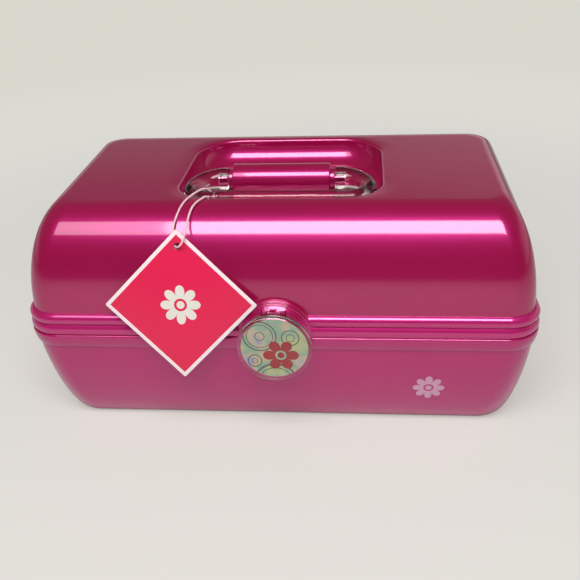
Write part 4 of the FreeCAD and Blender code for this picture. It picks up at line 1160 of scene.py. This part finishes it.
# far from the case the camera sees the sweep at one tone, and near it the sweep keeps its shadows; that tone
# is painted lighter near the case, a painted pool of light in front of and under it
ray = add_node(tree, "ShaderNodeLightPath")
distance = add_node(tree, "ShaderNodeVectorMath", {0: where}, operation="LENGTH")
even_share = add_node(
    tree,
    "ShaderNodeMapRange",
    {"Value": distance, "From Min": 0.18, "From Max": 0.9, "To Min": 0.5, "To Max": 1.0},
    interpolation_type="SMOOTHSTEP",
)
outward = add_node(
    tree,
    "ShaderNodeMapRange",
    {"Value": distance, "From Min": 0.3, "From Max": 1.1},
    interpolation_type="SMOOTHSTEP",
)
# painted pool of light: lighter near the case, darker further away
painted_pool_tone = add_node(
    tree,
    "ShaderNodeMix",
    {"Factor": outward, "A": linear("E9E7E2"), "B": linear("D9D8CE")},
    data_type="RGBA",
)
even = add_node(tree, "ShaderNodeEmission", {"Color": painted_pool_tone, "Strength": 1.0})
seen_share = {0: even_share, 1: ray.outputs["Is Camera Ray"]}
share = add_node(tree, "ShaderNodeMath", seen_share, operation="MULTIPLY")
blend = add_node(tree, "ShaderNodeMixShader", {0: share, 1: shader, 2: even})
feed(tree.nodes["Material Output"], Surface=blend)
floor.data.materials.append(paper)

world = bpy.data.worlds.new("studio")
bpy.context.scene.world = world
world.use_nodes = True
tree = world.node_tree
air = tree.nodes["Background"]
sky = add_node(tree, "ShaderNodeTexCoord")
towards = add_node(tree, "ShaderNodeSeparateXYZ", {"Vector": sky.outputs["Generated"]})
# the room's pale walls are bright at a low angle and dim higher up, and the side in front is dark
slant = {0: towards.outputs["X"], 1: -0.15, 2: towards.outputs["Z"]}
slanted = add_node(tree, "ShaderNodeMath", slant, operation="MULTIPLY_ADD")
by_height = add_node(tree, "ShaderNodeValToRGB", {"Fac": slanted})
stops = by_height.color_ramp.elements
stops[0].position, stops[0].color = 0.2, (0.5, 0.5, 0.5, 1.0)
stops[1].position, stops[1].color = 0.75, (0.03, 0.03, 0.03, 1.0)
for at, grey in ((0.3, 0.25), (0.35, 0.18), (0.4, 0.05)):
    stops.new(at).color = (grey, grey, grey, 1.0)
not_in_front = add_node(
    tree,
    "ShaderNodeMapRange",
    {"Value": towards.outputs["Y"], "From Min": -0.45, "From Max": 0.15},
    interpolation_type="SMOOTHSTEP",
)
wall = add_node(tree, "ShaderNodeMath", {0: by_height, 1: not_in_front}, operation="MULTIPLY")
strength = add_node(tree, "ShaderNodeMath", {0: wall, 1: 0.06}, operation="ADD")
ray = add_node(tree, "ShaderNodeLightPath")
seen = add_node(
    tree,
    "ShaderNodeMix",
    {"Factor": ray.outputs["Is Camera Ray"], "A": strength, "B": 1.0},
    data_type="FLOAT",
)
feed(air, Strength=seen)
seen_tone = add_node(
    tree,
    "ShaderNodeMix",
    {"Factor": ray.outputs["Is Camera Ray"], "A": linear("FFEFE4"), "B": linear("D9D8CE")},
    data_type="RGBA",
)
feed(air, Color=seen_tone)


def soft_lamp(name, spot, target, size, radiance):
    """A rectangular soft lamp of that size, aimed at a point, of that brightness over its face."""
    lamp = bpy.data.lights.new(name, "AREA")
    lamp.shape = "RECTANGLE"
    lamp.size, lamp.size_y = size
    lamp.energy = radiance * math.pi * size[0] * size[1]
    obj = bpy.data.objects.new(name, lamp)
    bpy.context.scene.collection.objects.link(obj)
    obj.location = spot
    obj.rotation_mode = "QUATERNION"
    obj.rotation_quaternion = (Vector(target) - Vector(spot)).to_track_quat("-Z", "Y")


soft_lamp("lamp_over_front", (-0.09, -0.76, 1.27), (-0.09, 0.0, 0.08), (1.34, 0.64), 3.7)
soft_lamp("lamp_core", (0.05, -0.74, 1.23), (0.05, 0.0, 0.08), (0.94, 0.54), 6.2)
